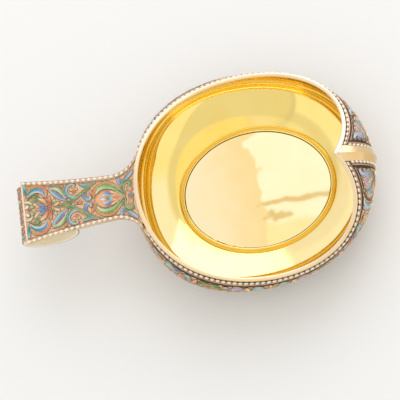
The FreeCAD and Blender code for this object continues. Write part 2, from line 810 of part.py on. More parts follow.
def curl_band(label, outer, outer_size, inner, inner_size):
    """The curl as a band between two insets, wider than it will be."""
    body = doc.addObject("PartDesign::Body", label)
    sketch = new_sketch(body, label + "_section", "XZ_Plane")
    outer_corners, outer_radii = curl_line(outer, outer_size)
    inner_corners, inner_radii = curl_line(inner, inner_size)
    radii = outer_radii + [None] + inner_radii[::-1] + [None]
    draw_loop(sketch, outer_corners + inner_corners[::-1], radii)
    pad(body, sketch, label + "_pad", "2 * sizes.handle_end_half_width", both_ways=True)
    return helper(body, label)


def plan_prism(label, corners):
    """A straight-sided prism over the curl's plan."""
    body = doc.addObject("PartDesign::Body", label)
    sketch = new_sketch(body, label + "_plan", "XY_Plane")
    draw_loop(sketch, corners, [None] * len(corners))
    pad(body, sketch, label + "_pad", "sizes.handle_height + sizes.overrun")
    return helper(body, label)


def make_hook():
    """The strap that curls under the end, its enamel and its two edge wires; it narrows forward."""
    aft_x = hook_centre() + size.hook_radius + size.overrun
    front_x = hook_centre() - size.hook_run - size.hook_forward_radius - size.overrun
    aft = "sizes.handle_end - sizes.hook_set_in + sizes.hook_radius + sizes.overrun"
    front = ("sizes.handle_end - sizes.hook_set_in - sizes.hook_run"
             " - sizes.hook_forward_radius - sizes.overrun")

    def plan_corners(side, inset, inset_size):
        aft_y = side * (size.hook_half_width - inset_size)
        front_y = side * (size.hook_half_width_front - inset_size)
        return [corner(aft, "sizes.hook_half_width - " + inset, -aft_x, aft_y),
                corner(front, "sizes.hook_half_width_front - " + inset, -front_x, front_y)]

    none, border = "0 * sizes.hook_border", "sizes.hook_border"
    whole = plan_prism("hook_plan", plan_corners(1, none, 0) + plan_corners(-1, none, 0)[::-1])
    within = plan_prism("hook_plan_within", plan_corners(1, border, size.hook_border)
                        + plan_corners(-1, border, size.hook_border)[::-1])
    beside = plan_prism("hook_plan_port", plan_corners(1, none, 0)
                        + plan_corners(1, border, size.hook_border)[::-1])
    metal_out, metal_in = "sizes.enamel_thickness", "(sizes.enamel_thickness + sizes.hook_thickness)"
    depth_out, depth_in = size.enamel_thickness, size.enamel_thickness + size.hook_thickness
    strap = curl_band("strap_band", metal_out, depth_out, metal_in, depth_in)
    skin = curl_band("skin_band", none, 0, metal_out, depth_out)
    keep(boolean("Common", "hook_strap", strap, whole), "hook_strap")
    keep(boolean("Common", "hook_enamel", skin, within), "hook_enamel")
    pair(boolean("Common", "hook_wire", skin, beside), "hook_edge_wire")


def check_objects():
    """Stops with a message if any object failed or any sub-part has no sound shape."""
    for item in doc.Objects:
        if "Invalid" in item.State or "Error" in item.State:
            raise RuntimeError("failed: %s %s" % (item.Label, item.State))
    for node in nodes:
        if node.Shape.isNull() or not node.Shape.isValid() or node.Shape.Volume <= 0:
            raise RuntimeError("no sound shape: " + node.Label)


def write_parts():
    os.makedirs("parts", exist_ok=True)
    for node in nodes:
        node.Shape.exportStep(os.path.join("parts", node.Label + ".step"))
        box = node.Shape.BoundBox
        print("%-28s solids %d  volume %9.2f  x %.1f..%.1f  y %.1f..%.1f  z %.1f..%.1f" % (
            node.Label, len(node.Shape.Solids), node.Shape.Volume,
            box.XMin, box.XMax, box.YMin, box.YMax, box.ZMin, box.ZMax))


make_bowl_shell()
make_floor_plate()
make_foot_ring()
make_rim_moulding()
make_keel_strip()
make_borders()
make_enamel()
make_handle()
make_hook()
doc.recompute()
check_objects()
write_parts()
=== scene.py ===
# %% [markdown]
# # A kovsh in silver-gilt and cloisonné enamel
# A kovsh is a Russian drinking ladle. This one has a heart-shaped bowl that is polished and
# gilt inside, an oval foot, a flat waisted handle that curls back under its own end, and
# enamel in fine wire cells outside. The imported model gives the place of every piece. Most
# pieces are made again here, because polished metal shows every facet and the wires, beads
# and cells are too fine for the construction model.

# %% Load the frame
import math

import bpy
import numpy as np
from mathutils import Matrix, Vector


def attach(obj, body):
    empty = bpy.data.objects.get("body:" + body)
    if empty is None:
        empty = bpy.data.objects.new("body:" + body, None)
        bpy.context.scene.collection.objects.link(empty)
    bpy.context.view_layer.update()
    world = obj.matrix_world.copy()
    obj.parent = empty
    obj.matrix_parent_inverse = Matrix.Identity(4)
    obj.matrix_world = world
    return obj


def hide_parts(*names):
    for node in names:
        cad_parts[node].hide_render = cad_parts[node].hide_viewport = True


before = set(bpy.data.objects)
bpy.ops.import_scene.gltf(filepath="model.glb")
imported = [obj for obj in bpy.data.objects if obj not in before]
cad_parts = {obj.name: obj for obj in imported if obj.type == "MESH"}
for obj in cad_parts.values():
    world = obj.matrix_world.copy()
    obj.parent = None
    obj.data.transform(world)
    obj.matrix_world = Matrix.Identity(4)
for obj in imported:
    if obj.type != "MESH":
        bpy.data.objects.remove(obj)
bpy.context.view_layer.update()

# %% [markdown]
# ## The camera
# The photo looks down into the bowl at 72 degrees above the table, from a place 30 degrees
# round from the starboard side, and the picture is turned so that the handle points left.
# The camera could be aimed with a constraint, but its turn in the picture matters too, so
# its three axes are worked out and written into its matrix.

# %% Camera
MM = 0.001

camera_round = math.radians(30)
camera_above = math.radians(71.92)
camera_roll = math.radians(-38.902)
camera_distance = 800
camera_lens = 147.6
picture_aim = Vector((0, 0, 20))
picture_shift = (25.651, 8.86)

back = Vector((math.sin(camera_round) * math.cos(camera_above),
               -math.cos(camera_round) * math.cos(camera_above), math.sin(camera_above)))
level = Vector((math.cos(camera_round), math.sin(camera_round), 0))
over = back.cross(level)
picture_right = level * math.cos(camera_roll) + over * math.sin(camera_roll)
picture_up = over * math.cos(camera_roll) - level * math.sin(camera_roll)
camera_place = (picture_aim + back * camera_distance - picture_right * picture_shift[0]
                - picture_up * picture_shift[1])

bpy.ops.object.select_all(action="DESELECT")
bpy.ops.object.camera_add()
camera = bpy.context.object
camera.name = "camera"
camera.data.lens = camera_lens
camera.data.clip_start = 10 * MM
turned = Matrix((picture_right, picture_up, back)).transposed().to_4x4()
camera.matrix_world = Matrix.Translation(camera_place * MM) @ turned
bpy.context.scene.camera = camera
print("camera at", [round(value, 3) for value in camera.location])

# %% [markdown]
# ## Finishes
# Each finish is a small tree of nodes. Written out one by one, the nodes hide the idea, so a
# small class wraps an output socket: an expression such as `1 - mask * 0.5` then adds its
# Math nodes by itself, and one function adds any other node.

# %% Shader helpers
class Reading:
    """A value that changes over a surface: an output socket that works in expressions."""

    def __init__(self, socket):
        self.socket = socket

    def reckon(self, operation, first, second):
        return add_node(self.socket.id_data, "ShaderNodeMath", {"operation": operation},
                        [first, second])

    def __add__(self, other):
        return self.reckon("ADD", self, other)

    __radd__ = __add__

    def __sub__(self, other):
        return self.reckon("SUBTRACT", self, other)

    def __rsub__(self, other):
        return self.reckon("SUBTRACT", other, self)

    def __mul__(self, other):
        return self.reckon("MULTIPLY", self, other)

    __rmul__ = __mul__


def add_node(tree, kind, settings=None, inputs=None, output=0):
    """Adds a node, makes its settings, then sets or links its sockets by name or number."""
    node = tree.nodes.new(kind)
    for name, value in (settings or {}).items():
        setattr(node, name, value)
    named = inputs.items() if isinstance(inputs, dict) else enumerate(inputs or [])
    for name, value in named:
        if isinstance(value, Reading):
            tree.links.new(value.socket, node.inputs[name])
        elif value is not None:
            node.inputs[name].default_value = value
    return Reading(node.outputs[output])


class Finish:
    """A material under construction, with the parts that all of this object's finishes use."""

    def __init__(self, name, **shader):
        self.material = bpy.data.materials.new(name)
        self.material.use_nodes = True
        self.tree = self.material.node_tree
        self.shader = self.tree.nodes["Principled BSDF"]
        for socket, value in shader.items():
            self.shader.inputs[socket.replace("_", " ")].default_value = value
        self.place = add_node(self.tree, "ShaderNodeTexCoord", output="Object")

    def noise(self, scale, detail=2.0, roughness=0.5, stretch=(1, 1, 1)):
        """Cloudy grain, scale in grains a metre, which can be drawn out along an axis."""
        place = add_node(self.tree, "ShaderNodeVectorMath", {"operation": "MULTIPLY"},
                         [self.place, stretch])
        return add_node(self.tree, "ShaderNodeTexNoise", {},
                        {"Vector": place, "Scale": scale, "Detail": detail, "Roughness": roughness})

    def points(self, scale):
        """How far each place is from the nearest of many scattered points."""
        return add_node(self.tree, "ShaderNodeTexVoronoi", {},
                        {"Vector": self.place, "Scale": scale}, "Distance")

    def between(self, reading, low, high):
        """Stretches the part of a reading between two levels to 0..1."""
        return add_node(self.tree, "ShaderNodeMapRange", {"clamp": True},
                        {"Value": reading, "From Min": low, "From Max": high})

    def blend(self, share, first, second):
        """A colour between two others."""
        first = (*first, 1) if isinstance(first, tuple) else first
        second = (*second, 1) if isinstance(second, tuple) else second
        return add_node(self.tree, "ShaderNodeMix", {"data_type": "RGBA"},
                        {0: share, 6: first, 7: second}, 2)

    def feed(self, socket, reading):
        self.tree.links.new(reading.socket, self.shader.inputs[socket])

    def relief(self, height, depth_mm):
        """Small relief, as a bump."""
        bump = add_node(self.tree, "ShaderNodeBump", {},
                        {"Height": height, "Distance": depth_mm * MM, "Strength": 1.0})
        self.feed("Normal", bump)


print("shader helpers ready")

# %% [markdown]
# ## Light
# Polished metal shows its surroundings, so the studio matters as much as the gilding. The
# wall of the bowl shows a large window behind it, to the upper right of the picture, and a
# duller corner of the room in front. The floor shows the ceiling, which has a bright part with
# an uneven edge, a beam and a fitting. The window is a soft area lamp, because a lamp gives
# clean shadows. The room is painted on the world by direction: how far the line of sight leans
# east, north and up. Only reflections show that painting, and matt surfaces get a plain level
# of light instead, so that a colour renders about as it is written.

# %% Directions in the room
world = bpy.data.worlds.new("studio")
bpy.context.scene.world = world
world.use_nodes = True
room = world.node_tree
direction = add_node(room, "ShaderNodeTexCoord", output="Generated")


def level_along(axis):
    """How far the direction of view leans towards an axis, -1 to 1."""
    return add_node(room, "ShaderNodeVectorMath", {"operation": "DOT_PRODUCT"},
                    [direction, axis], "Value")


def step_up(reading, edge, blur):
    """0 below an edge, 1 above it, with a soft step between."""
    return add_node(room, "ShaderNodeMapRange", {"clamp": True, "interpolation_type": "SMOOTHSTEP"},
                    {"Value": reading, "From Min": edge - blur, "From Max": edge + blur})


def strip(reading, low, high, blur):
    """1 between two edges and 0 outside them."""
    return step_up(reading, low, blur) * (1 - step_up(reading, high, blur))


ripple = add_node(room, "ShaderNodeTexNoise", {},
                  {"Vector": direction, "Scale": 85.0, "Detail": 2.0}) - 0.5
leaning_east = level_along((1, 0, 0)) + ripple * 0.026
leaning_north = level_along((0, 1, 0)) + ripple * 0.008
leaning_up = level_along((0, 0, 1))
print("the world's painting has", len(room.nodes), "nodes so far")

# %% The ceiling
# tan is the warm shade that the ceiling takes on beside its bright part and at that part's end.
ceiling_edge = 0.92
bright_edge = -0.119
overhead = step_up(leaning_up, ceiling_edge, 0.02)
panel = step_up(leaning_east, bright_edge, 0.0012)
beam = panel * strip(leaning_north, 0.2608, 0.2640, 0.0006)
slanting = leaning_north - leaning_east * 0.15 + ripple * 0.012
fitting = strip(leaning_east, bright_edge, -0.0985, 0.001) * strip(slanting, 0.2694, 0.2732, 0.001)
tan = (step_up(leaning_east, -0.139, 0.022) * (1 - panel)
       + (1 - step_up(leaning_north, 0.2500, 0.0035)) * panel * (1 - fitting))
ceiling_light = panel * 0.16 - 0.09 - (beam + fitting) * 0.36

# %% The walls of the room
left_wall, right_wall = (-0.858, -0.085, 0.507), (0.816, -0.554, 0.163)
beside_window = (-0.438, 0.470, 0.766)
corner_left = step_up(level_along(left_wall), 0.0, 0.03)
corner_right = step_up(level_along(right_wall), 0.0, 0.008)
seam = corner_right * step_up(level_along(tuple(-way for way in right_wall)), -0.03, 0.03)
dim_side = step_up(level_along(beside_window), 0.93, 0.04) * (1 - overhead)
dull = 1 - (1 - corner_left * corner_right) * (1 - step_up(leaning_up, 0.79, 0.05))
wall_light = 1.20 - dull * (1 - overhead) * 0.22 - seam * 0.16 - dim_side * 0.12
print("the ceiling and the walls need", len(room.nodes), "nodes")

# %% World
matt_level = 0.88
plain_light, tan_light, day_light = (1.0, 0.99, 0.975), (1.0, 0.84, 0.52), (1.0, 1.042, 1.56)
rays = [add_node(room, "ShaderNodeLightPath", output=kind)
        for kind in ("Is Camera Ray", "Is Glossy Ray", "Is Transmission Ray")]
seen = step_up(rays[0] + rays[1] + rays[2], 0.5, 0.1)
daylight = (1 - step_up(leaning_up, 0.78, 0.08)) * step_up(level_along((0, 1, 0)), 0.0, 0.15)


def tinted(share, first, second):
    """A colour of light between two others."""
    return add_node(room, "ShaderNodeMix", {"data_type": "RGBA"}, {0: share, 6: first, 7: second}, 2)


plain_colour = tinted(overhead * (beam + fitting + tan * 0.8), (*plain_light, 1), (*tan_light, 1))
room_colour = tinted(daylight * seen, plain_colour, (*day_light, 1))
brightness = wall_light + overhead * ceiling_light
background = room.nodes["Background"]
room.links.new(room_colour.socket, background.inputs["Color"])
room.links.new((matt_level + seen * (brightness - matt_level)).socket, background.inputs["Strength"])
print("the world's painting has", len(room.nodes), "nodes")

# %% Window
window_round, window_distance, window_middle = math.radians(76.2), 2000, 1780
window_width, window_height, window_power = 2236, 3360, 29.5
window_place = Vector((window_distance * math.cos(window_round),
                       window_distance * math.sin(window_round), window_middle))
bpy.ops.object.light_add(type="AREA", location=window_place * MM)
window = bpy.context.object
window.name = "window"
window.data.shape = "RECTANGLE"
window.data.size, window.data.size_y = window_width * MM, window_height * MM
window.data.energy = window_power
window.data.color = (1.0, 1.0, 1.05)
facing = Vector((-window_place.x, -window_place.y, 0))
window.rotation_euler = facing.to_track_quat("-Z", "Y").to_euler()
bpy.context.scene.view_settings.view_transform = "Standard"
print("window at", [round(value) for value in window_place], "mm")

# %% [markdown]
# ## Gilding
# Fire-gilt silver is a pale, warm gold. Inside the bowl it is polished like a mirror, with
# fine wiping scratches and a few faint smudges. Outside, between the enamels, it is paler,
# pinker and softer, and brown where tarnish lies in it. All of these are one recipe with other
# numbers: a bright and a worn tone, the roughness, the scratches and the waviness.

# %% Gilt finishes
def gilt(name, bright, worn, roughness, scratch, waviness, metallic=1.0):
    """Gilded silver: two tones in clouds, wiping scratches, and a slightly uneven surface."""
    finish = Finish(name, Metallic=metallic)
    clouds = finish.between(finish.noise(70, 3), 0.42, 0.72)
    finish.feed("Base Color", finish.blend(clouds, bright, worn))
    lines = finish.between(finish.noise(240, 4, 0.6, (1, 14, 3)), 0.5, 0.75)
    smudges = finish.between(finish.noise(45, 4, 0.6), 0.5, 0.8)
    finish.feed("Roughness", roughness * (1 + smudges * 0.8 + lines * 0.6))
    finish.relief(finish.noise(30, 1) * waviness + lines * scratch, 0.1)
    return finish.material


mirror_gilt = gilt("mirror_gilt", (0.88, 0.682, 0.232), (0.87, 0.657, 0.20), 0.06, 0.02, 0.5)
floor_gilt = gilt("floor_gilt", (0.90, 0.775, 0.495), (0.90, 0.757, 0.46), 0.012, 0.0, 0.3)
band_gilt = gilt("band_gilt", (0.84, 0.68, 0.43), (0.80, 0.62, 0.36), 0.34, 0.05, 0.3)
keel_gilt = gilt("keel_gilt", (0.77, 0.56, 0.29), (0.71, 0.47, 0.21), 0.20, 0.02, 0.3)
soft_gilt = gilt("soft_gilt", (0.84, 0.67, 0.46), (0.72, 0.52, 0.32), 0.30, 0.10, 0.3)
wire_gilt = gilt("wire_gilt", (0.80, 0.61, 0.39), (0.61, 0.41, 0.23), 0.30, 0.05, 0.1)
# Darker gilt for the wires of the wall's borders and of the curl: partly their own golden-brown tone, and
# partly painted shade that keeps the window's highlight off them.
brown_gilt_and_painted_shade = gilt("brown_gilt_and_painted_shade", (0.56, 0.38, 0.22), (0.40, 0.25, 0.13), 0.34, 0.05, 0.1)
# The curl's strap is polished gilt. Its pale colour and low metal share are a painted reflection of the
# bright table, in place of a mirror that would show the handle's dark underside.
painted_reflection_gilt = gilt("painted_reflection_gilt", (1.0, 0.95, 0.78), (0.98, 0.90, 0.68), 0.45, 0.1, 0.3, 0.1)
print("gilt finishes:", mirror_gilt.name, floor_gilt.name, band_gilt.name, keel_gilt.name)

# %% Ground, recess and enamel finishes
def stippled_ground():
    """The bare metal between the cells, punched all over with a fine point."""
    finish = Finish("stippled_ground", Metallic=0.85)
    pits = finish.between(finish.points(1700), 0.2, 0.6)
    clouds = finish.between(finish.noise(160, 3), 0.35, 0.7)
    tone = finish.blend(clouds, (0.86, 0.59, 0.37), (0.66, 0.41, 0.22))
    finish.feed("Base Color", finish.blend(pits, (0.30, 0.17, 0.08), tone))
    finish.feed("Roughness", 0.55 - pits * 0.2)
    finish.relief(pits, 0.06)
    return finish.material


def oxide_and_shade_recess():
    """The dark line beside every wire: old tarnish together with painted shade."""
    finish = Finish("oxide_and_shade_recess", Metallic=0.3)
    clouds = finish.between(finish.noise(400, 3), 0.3, 0.7)
    finish.feed("Base Color", finish.blend(clouds, (0.034, 0.017, 0.008), (0.100, 0.055, 0.026)))
    finish.feed("Roughness", 0.6 - clouds * 0.2)
    return finish.material


def cell_enamel():
    """Opaque enamel in its cell. Each cell carries its own colours, painted on its corners."""
    finish = Finish("cell_enamel", Coat_Weight=0.3, Coat_Roughness=0.08)
    tint = add_node(finish.tree, "ShaderNodeAttribute", {"attribute_name": "tint"})
    specks = finish.between(finish.noise(1500, 2), 0.56, 0.74)
    finish.feed("Base Color", finish.blend(specks * 0.18, tint, (0.80, 0.72, 0.60)))
    finish.feed("Roughness", 0.22 + specks * 0.12)
    finish.relief(finish.noise(500, 2), 0.04)
    return finish.material


def bead_enamel():
    """Cream-white enamel for the beads, in clouds of two close tones."""
    finish = Finish("bead_cream", Coat_Weight=0.6, Coat_Roughness=0.06)
    clouds = finish.between(finish.noise(700, 2), 0.35, 0.7)
    finish.feed("Base Color", finish.blend(clouds, (0.97, 0.90, 0.78), (0.89, 0.77, 0.62)))
    finish.feed("Roughness", 0.2 + clouds * 0.1)
    return finish.material


ground = stippled_ground()
recess = oxide_and_shade_recess()
enamel = cell_enamel()
cream = bead_enamel()
print("ground, recess, enamel and bead finishes ready")

# %% [markdown]
# ## The shape of the wall
# The bowl is a heart in plan: a rounded oval notched at the prow. Its rim rises to the prow
# and to the handle, and the wall swells below the rim and draws in to an oval foot. No turned
# or extruded shape gives that, so the wall is written as formulas, the same as in the
# construction model. A turn of 0 is the prow and a turn of pi is the handle, on the port side.
# Past either end the port side is mirrored.

# %% Guiding curves
floor_half = (36.8, 29.5)
foot_height = 4.0
wall_thickness = 1.3
seat_reach = 2.5
seat_spare = 0.15
moulding_height = 1.2
rim_lean, foot_lean = math.radians(60), math.radians(74)
root_turn = math.pi - 0.385
blunting = 0.025
rim_oval = (60.5, 53.0, 49.7, 0.09, 0.047)
belly_front, belly_back, belly_side, belly_fullness = 59.9, 58.2, 54.0, 0.10
rim_low, belly_height = 27.6, 23.2
handle_rise, handle_sharpness, prow_rise, prow_spread = 12.5, 3.5, 16.0, 0.548
notch_depth, notch_spread = 17.7, 0.466


def stack(x, y, z):
    """Three coordinates, each a number or an array, as one array of places."""
    return np.stack(np.broadcast_arrays(x, y, z), axis=-1).astype(float)


def oval(front, back_reach, half_width, fullness, forward, t):
    """A rounded oval in plan, with its handle end a little blunter than its prow end."""
    mean = (front + back_reach) / 2
    centre = (front - back_reach) / 2 - blunting * mean
    x = centre + mean * np.cos(t) + blunting * mean * np.cos(2 * t)
    y = half_width * np.sin(t) * (1 + forward * np.cos(t) + fullness * np.cos(t) ** 2)
    return x, y


def rim_edge(t):
    """Inner edge of the rim."""
    x, y = oval(*rim_oval, t)
    z = (rim_low + handle_rise * ((1 - np.cos(t)) / 2) ** handle_sharpness
         + prow_rise * np.exp(-t / prow_spread))
    return stack(x - notch_depth * np.exp(-t / notch_spread), y, z)


def beside_rim(t, outwards):
    """The rim's edge moved level outwards, square to its run."""
    along = rim_edge(t + 0.002) - rim_edge(t - 0.002)
    length = np.hypot(along[..., 0], along[..., 1])
    aside = stack(along[..., 1] / length, -along[..., 0] / length, 0)
    return rim_edge(t) + aside * np.asarray(outwards)[..., None]


def cusp_turn(outwards):
    """Where the moved edge crosses the plane of the keel."""
    low, high = 0.0, notch_spread
    for halving in range(22):
        middle = (low + high) / 2
        low, high = (middle, high) if beside_rim(middle, outwards)[1] < 0 else (low, middle)
    return high


def across_rim(t, outwards):
    """The rim's edge moved outwards and ended at the keel's plane."""
    start = cusp_turn(outwards)
    place = beside_rim(start + t * (math.pi - start) / math.pi, np.full(np.shape(t), outwards))
    at_end = (np.asarray(t) < 1e-9) | (np.asarray(t) > math.pi - 1e-9)
    place[..., 1] = np.where(at_end, 0, place[..., 1])
    return place


def belly(t, inset):
    """The widest line of the wall."""
    x, y = oval(belly_front - inset, belly_back - inset, belly_side - inset, belly_fullness, 0, t)
    return stack(x, y, belly_height)


def wall_foot(t, inset):
    """The oval that the wall stands on."""
    reach = seat_reach - inset
    return stack((floor_half[0] + reach) * np.cos(t), (floor_half[1] + reach) * np.sin(t),
                 foot_height + seat_spare + inset)


def up_wall(t, row, inset):
    """A line up the wall: row 0 at the foot, 1 at the widest line, 2 under the rim moulding."""
    low, mid, top = wall_foot(t, inset), belly(t, inset), across_rim(t, wall_thickness - inset)
    turn = foot_lean * (1 - np.minimum(row, 1))
    out = (1 - (1 - np.cos(turn)) / (1 - math.cos(foot_lean)))[..., None]
    rise = 1 - np.sin(turn) / math.sin(foot_lean)
    lower = low + (mid - low) * out
    lower[..., 2] = low[..., 2] + (mid[..., 2] - low[..., 2]) * rise
    turn = rim_lean * (np.maximum(row, 1) - 1)
    upper = mid + (top - mid) * ((1 - np.cos(turn)) / (1 - math.cos(rim_lean)))[..., None]
    height = top[..., 2] - moulding_height - mid[..., 2]
    upper[..., 2] = mid[..., 2] + height * np.sin(turn) / math.sin(rim_lean)
    return np.where((row <= 1)[..., None], lower, upper)


print("the prow's cusp is at", across_rim(np.array([0.0]), 0.0).round(2))

# %% [markdown]
# ## A map of the wall
# The enamel, beads and wires are laid out flat, as the maker would draw them on paper, and
# then bent onto the wall. For that the wall needs a map: given a turn round the bowl, a length
# down from the rim and a height over the metal, it returns the place. The map is a table of
# places evenly spaced down the wall, read between its entries.

# %% The map
turn_steps, share_steps = 300, 100
map_turns = np.linspace(0, math.pi, turn_steps + 1)
map_shares = np.linspace(0, 1, share_steps + 1)
rows = np.linspace(2, 0, 161)
places = up_wall(map_turns[:, None] + 0 * rows, rows + 0 * map_turns[:, None], 0)
runs = np.concatenate([np.zeros((turn_steps + 1, 1)),
                       np.cumsum(np.linalg.norm(np.diff(places, axis=1), axis=2), axis=1)], axis=1)
wall_lengths = runs[:, -1]
map_places = np.array([[np.interp(map_shares * run[-1], run, line[:, axis]) for axis in range(3)]
                       for run, line in zip(runs, places)]).transpose(0, 2, 1)
map_normals = np.cross(np.gradient(map_places, axis=0), -np.gradient(map_places, axis=1))
map_normals[-1, :, 1] = 0
map_normals /= np.linalg.norm(map_normals, axis=2, keepdims=True)


def wall_length(t):
    """How long the wall's line is at a turn, from the rim moulding to the foot."""
    return np.interp(folded(t), map_turns, wall_lengths)


def folded(t):
    """The turn on the port side that mirrors a turn past either end."""
    t = np.abs(t)
    return np.where(t > math.pi, 2 * math.pi - t, t)


def read_map(table, t, share):
    """The table's value at a turn and a share of the way down, from the four entries round it."""
    across = np.clip(folded(t) / math.pi * turn_steps, 0, turn_steps - 1e-6)
    down = np.clip(share * share_steps, 0, share_steps - 1e-6)
    i, j = across.astype(int), down.astype(int)
    u, v = (across - i)[..., None], (down - j)[..., None]
    return ((table[i, j] * (1 - v) + table[i, j + 1] * v) * (1 - u)
            + (table[i + 1, j] * (1 - v) + table[i + 1, j + 1] * v) * u)


def on_wall(t, depth, height):
    """The place at a turn, a depth below the rim moulding and a height over the metal."""
    t, depth, height = np.broadcast_arrays(t, depth, height)
    share = depth / wall_length(t)
    normal = read_map(map_normals, t, share)
    normal /= np.linalg.norm(normal, axis=-1, keepdims=True)
    place = read_map(map_places, t, share) + normal * height[..., None]
    past_end = (t < 0) | (t > math.pi)
    place[..., 1] = np.where(past_end, -place[..., 1], place[..., 1])
    return place


def keel_turn(depth, distance):
    """The turn at which the wall is a distance from the keel's plane."""
    depth, distance = np.broadcast_arrays(depth, distance)
    low, high = np.zeros(depth.shape), np.ones(depth.shape)
    for halving in range(22):
        middle = (low + high) / 2
        inside = on_wall(middle, depth, 0 * depth)[..., 1] < distance
        low, high = np.where(inside, middle, low), np.where(inside, high, middle)
    return (low + high) / 2


keel_half_top, keel_narrowing, keel_stop = 3.9, 1.3, 4.0
keel_length = float(wall_length(0.0)) - keel_stop


def keel_half_width(depth):
    """Half the keel band's width, which narrows towards the foot."""
    return keel_half_top - keel_narrowing * depth / keel_length


print("wall from %.1f to %.1f mm long" % (wall_lengths.min(), wall_lengths.max()))

# %% [markdown]
# ## Sheets of places
# A surface that follows the wall starts as Blender's grid, which is the same as a cloth of
# squares. Its corners are moved to the worked-out places, and its edges are merged where the
# surface closes on itself. That keeps the surface one smooth mesh with the least code.

# %% Sheet helper
def sheet(name, places, finish, replaces=(), caps=False, sharp=40):
    """A grid of places in millimetres made into a piece; rows and columns that meet are merged."""
    bpy.ops.object.select_all(action="DESELECT")
    rows, columns = places.shape[:2]
    bpy.ops.mesh.primitive_grid_add(x_subdivisions=columns - 1, y_subdivisions=rows - 1, size=1)
    piece = bpy.context.object
    piece.name = name
    piece.data.vertices.foreach_set("co", (places * MM).astype(np.float32).ravel())
    bpy.ops.object.mode_set(mode="EDIT")
    bpy.ops.mesh.select_all(action="SELECT")
    bpy.ops.mesh.remove_doubles(threshold=2e-6)
    if caps:
        bpy.ops.mesh.fill_holes(sides=0)
    bpy.ops.mesh.normals_make_consistent(inside=False)
    bpy.ops.object.mode_set(mode="OBJECT")
    return finished(piece, finish, replaces, sharp)


def finished(piece, finish, replaces=(), sharp=40):
    """Gives a piece its finish, and ties it to the frame."""
    bpy.ops.object.select_all(action="DESELECT")
    piece.select_set(True)
    bpy.context.view_layer.objects.active = piece
    bpy.ops.object.transform_apply(location=True, rotation=True, scale=True)
    bpy.ops.object.shade_smooth_by_angle(angle=math.radians(sharp))
    if finish:
        piece.data.materials.clear()
        piece.data.materials.append(finish)
    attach(piece, "root")
    if replaces:
        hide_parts(*replaces)
    print("%-28s %6d faces" % (piece.name, len(piece.data.polygons)))
    return piece


# %% [markdown]
# ## The bowl
# The bowl is raised from one sheet of silver. Its inside is a mirror, so the mesh is dense
# and follows the formulas exactly. One closed profile is carried round the bowl: down the
# inside of the wall, over a small hollow and a lip that frame the floor, round the seat's
# edge, and up the outside, where the gilding is softer.

# %% Bowl
def mirror_half(half):
    """The whole way round from the port half: the starboard side is the port side mirrored."""
    other = half[-2::-1].copy()
    other[..., 1] *= -1
    return np.concatenate([half, other])


half_turns = np.linspace(0, math.pi, 181)
hollow_profile = [(2.95, 5.90), (2.72, 5.72), (2.40, 5.30), (2.10, 4.90), (1.88, 4.66), (1.72, 4.60),
                  (1.56, 4.68), (1.34, 4.96), (1.10, 5.34), (0.94, 5.54), (0.78, 5.60), (0.35, 5.60),
                  (0.22, 5.54), (0.15, 5.35), (0.15, 4.05), (0.30, 4.0), (2.4, 4.0)]
wall_start = 1.85
start_out = wall_start / np.linalg.norm((belly(half_turns, wall_thickness)
                                        - wall_foot(half_turns, wall_thickness))[:, :2], axis=1)
start_row = 1 - np.arccos(1 - (1 - start_out) * (1 - math.cos(foot_lean))) / foot_lean
inner_rows = start_row[:, None] + (2 - start_row[:, None]) * np.linspace(1, 0, 56)
inner = up_wall(half_turns[:, None] + 0 * inner_rows, inner_rows, wall_thickness)
floor_ring = np.array([stack((floor_half[0] + reach) * np.cos(half_turns),
                             (floor_half[1] + reach) * np.sin(half_turns), z)
                       for reach, z in hollow_profile]).transpose(1, 0, 2)
outer_rows = np.linspace(0, 2, 60)[None, :] + 0 * half_turns[:, None]
outer = up_wall(half_turns[:, None] + 0 * outer_rows, outer_rows, 0)
bowl_places = np.concatenate([inner, floor_ring, outer, inner[:, :1]], axis=1)
bowl = sheet("bowl_wall", mirror_half(bowl_places), mirror_gilt, ["bowl_shell"])
outside_from = 6.2
bowl.data.materials.append(soft_gilt)
for face in bowl.data.polygons:
    if face.center.z > outside_from * MM and face.normal.xy.dot(face.center.xy) > 0:
        face.material_index = 1

# %% [markdown]
# ## The floor
# The floor is a separate polished oval, let into the seat with a seam as fine as a hair. A
# circle is filled, stretched to the oval, given its thickness by an extrusion, and its upper
# edge is bevelled by an inset and a small lift, so that the seam shows as a dark line.

# %% Floor
seam, floor_low, floor_thickness, bevel_width, bevel_rise = 0.12, 4.05, 1.2, 0.22, 0.1
bpy.ops.object.select_all(action="DESELECT")
bpy.ops.mesh.primitive_circle_add(vertices=160, radius=1, fill_type="NGON",
                                  location=(0, 0, floor_low * MM))
floor = bpy.context.object
floor.name = "floor_oval"
floor.scale = ((floor_half[0] - seam) * MM, (floor_half[1] - seam) * MM, 1)
bpy.ops.object.transform_apply(location=True, rotation=True, scale=True)
bpy.ops.object.mode_set(mode="EDIT")
bpy.ops.mesh.select_all(action="SELECT")
bpy.ops.mesh.extrude_region_move(TRANSFORM_OT_translate={"value": (0, 0, floor_thickness * MM)})
bpy.ops.mesh.inset(thickness=bevel_width * MM)
bpy.ops.transform.translate(value=(0, 0, bevel_rise * MM))
bpy.ops.mesh.select_all(action="SELECT")
bpy.ops.mesh.normals_make_consistent(inside=False)
bpy.ops.object.mode_set(mode="OBJECT")
finished(floor, floor_gilt, ["floor_plate"], sharp=20)

# %% [markdown]
# ## The foot
# The foot is a strip bent to an oval, leaning in towards the bowl, with a flat lip at the
# table. A circle of edges is extruded again and again, and after each extrusion the new loop
# is resized to its own oval and lifted to its own height.

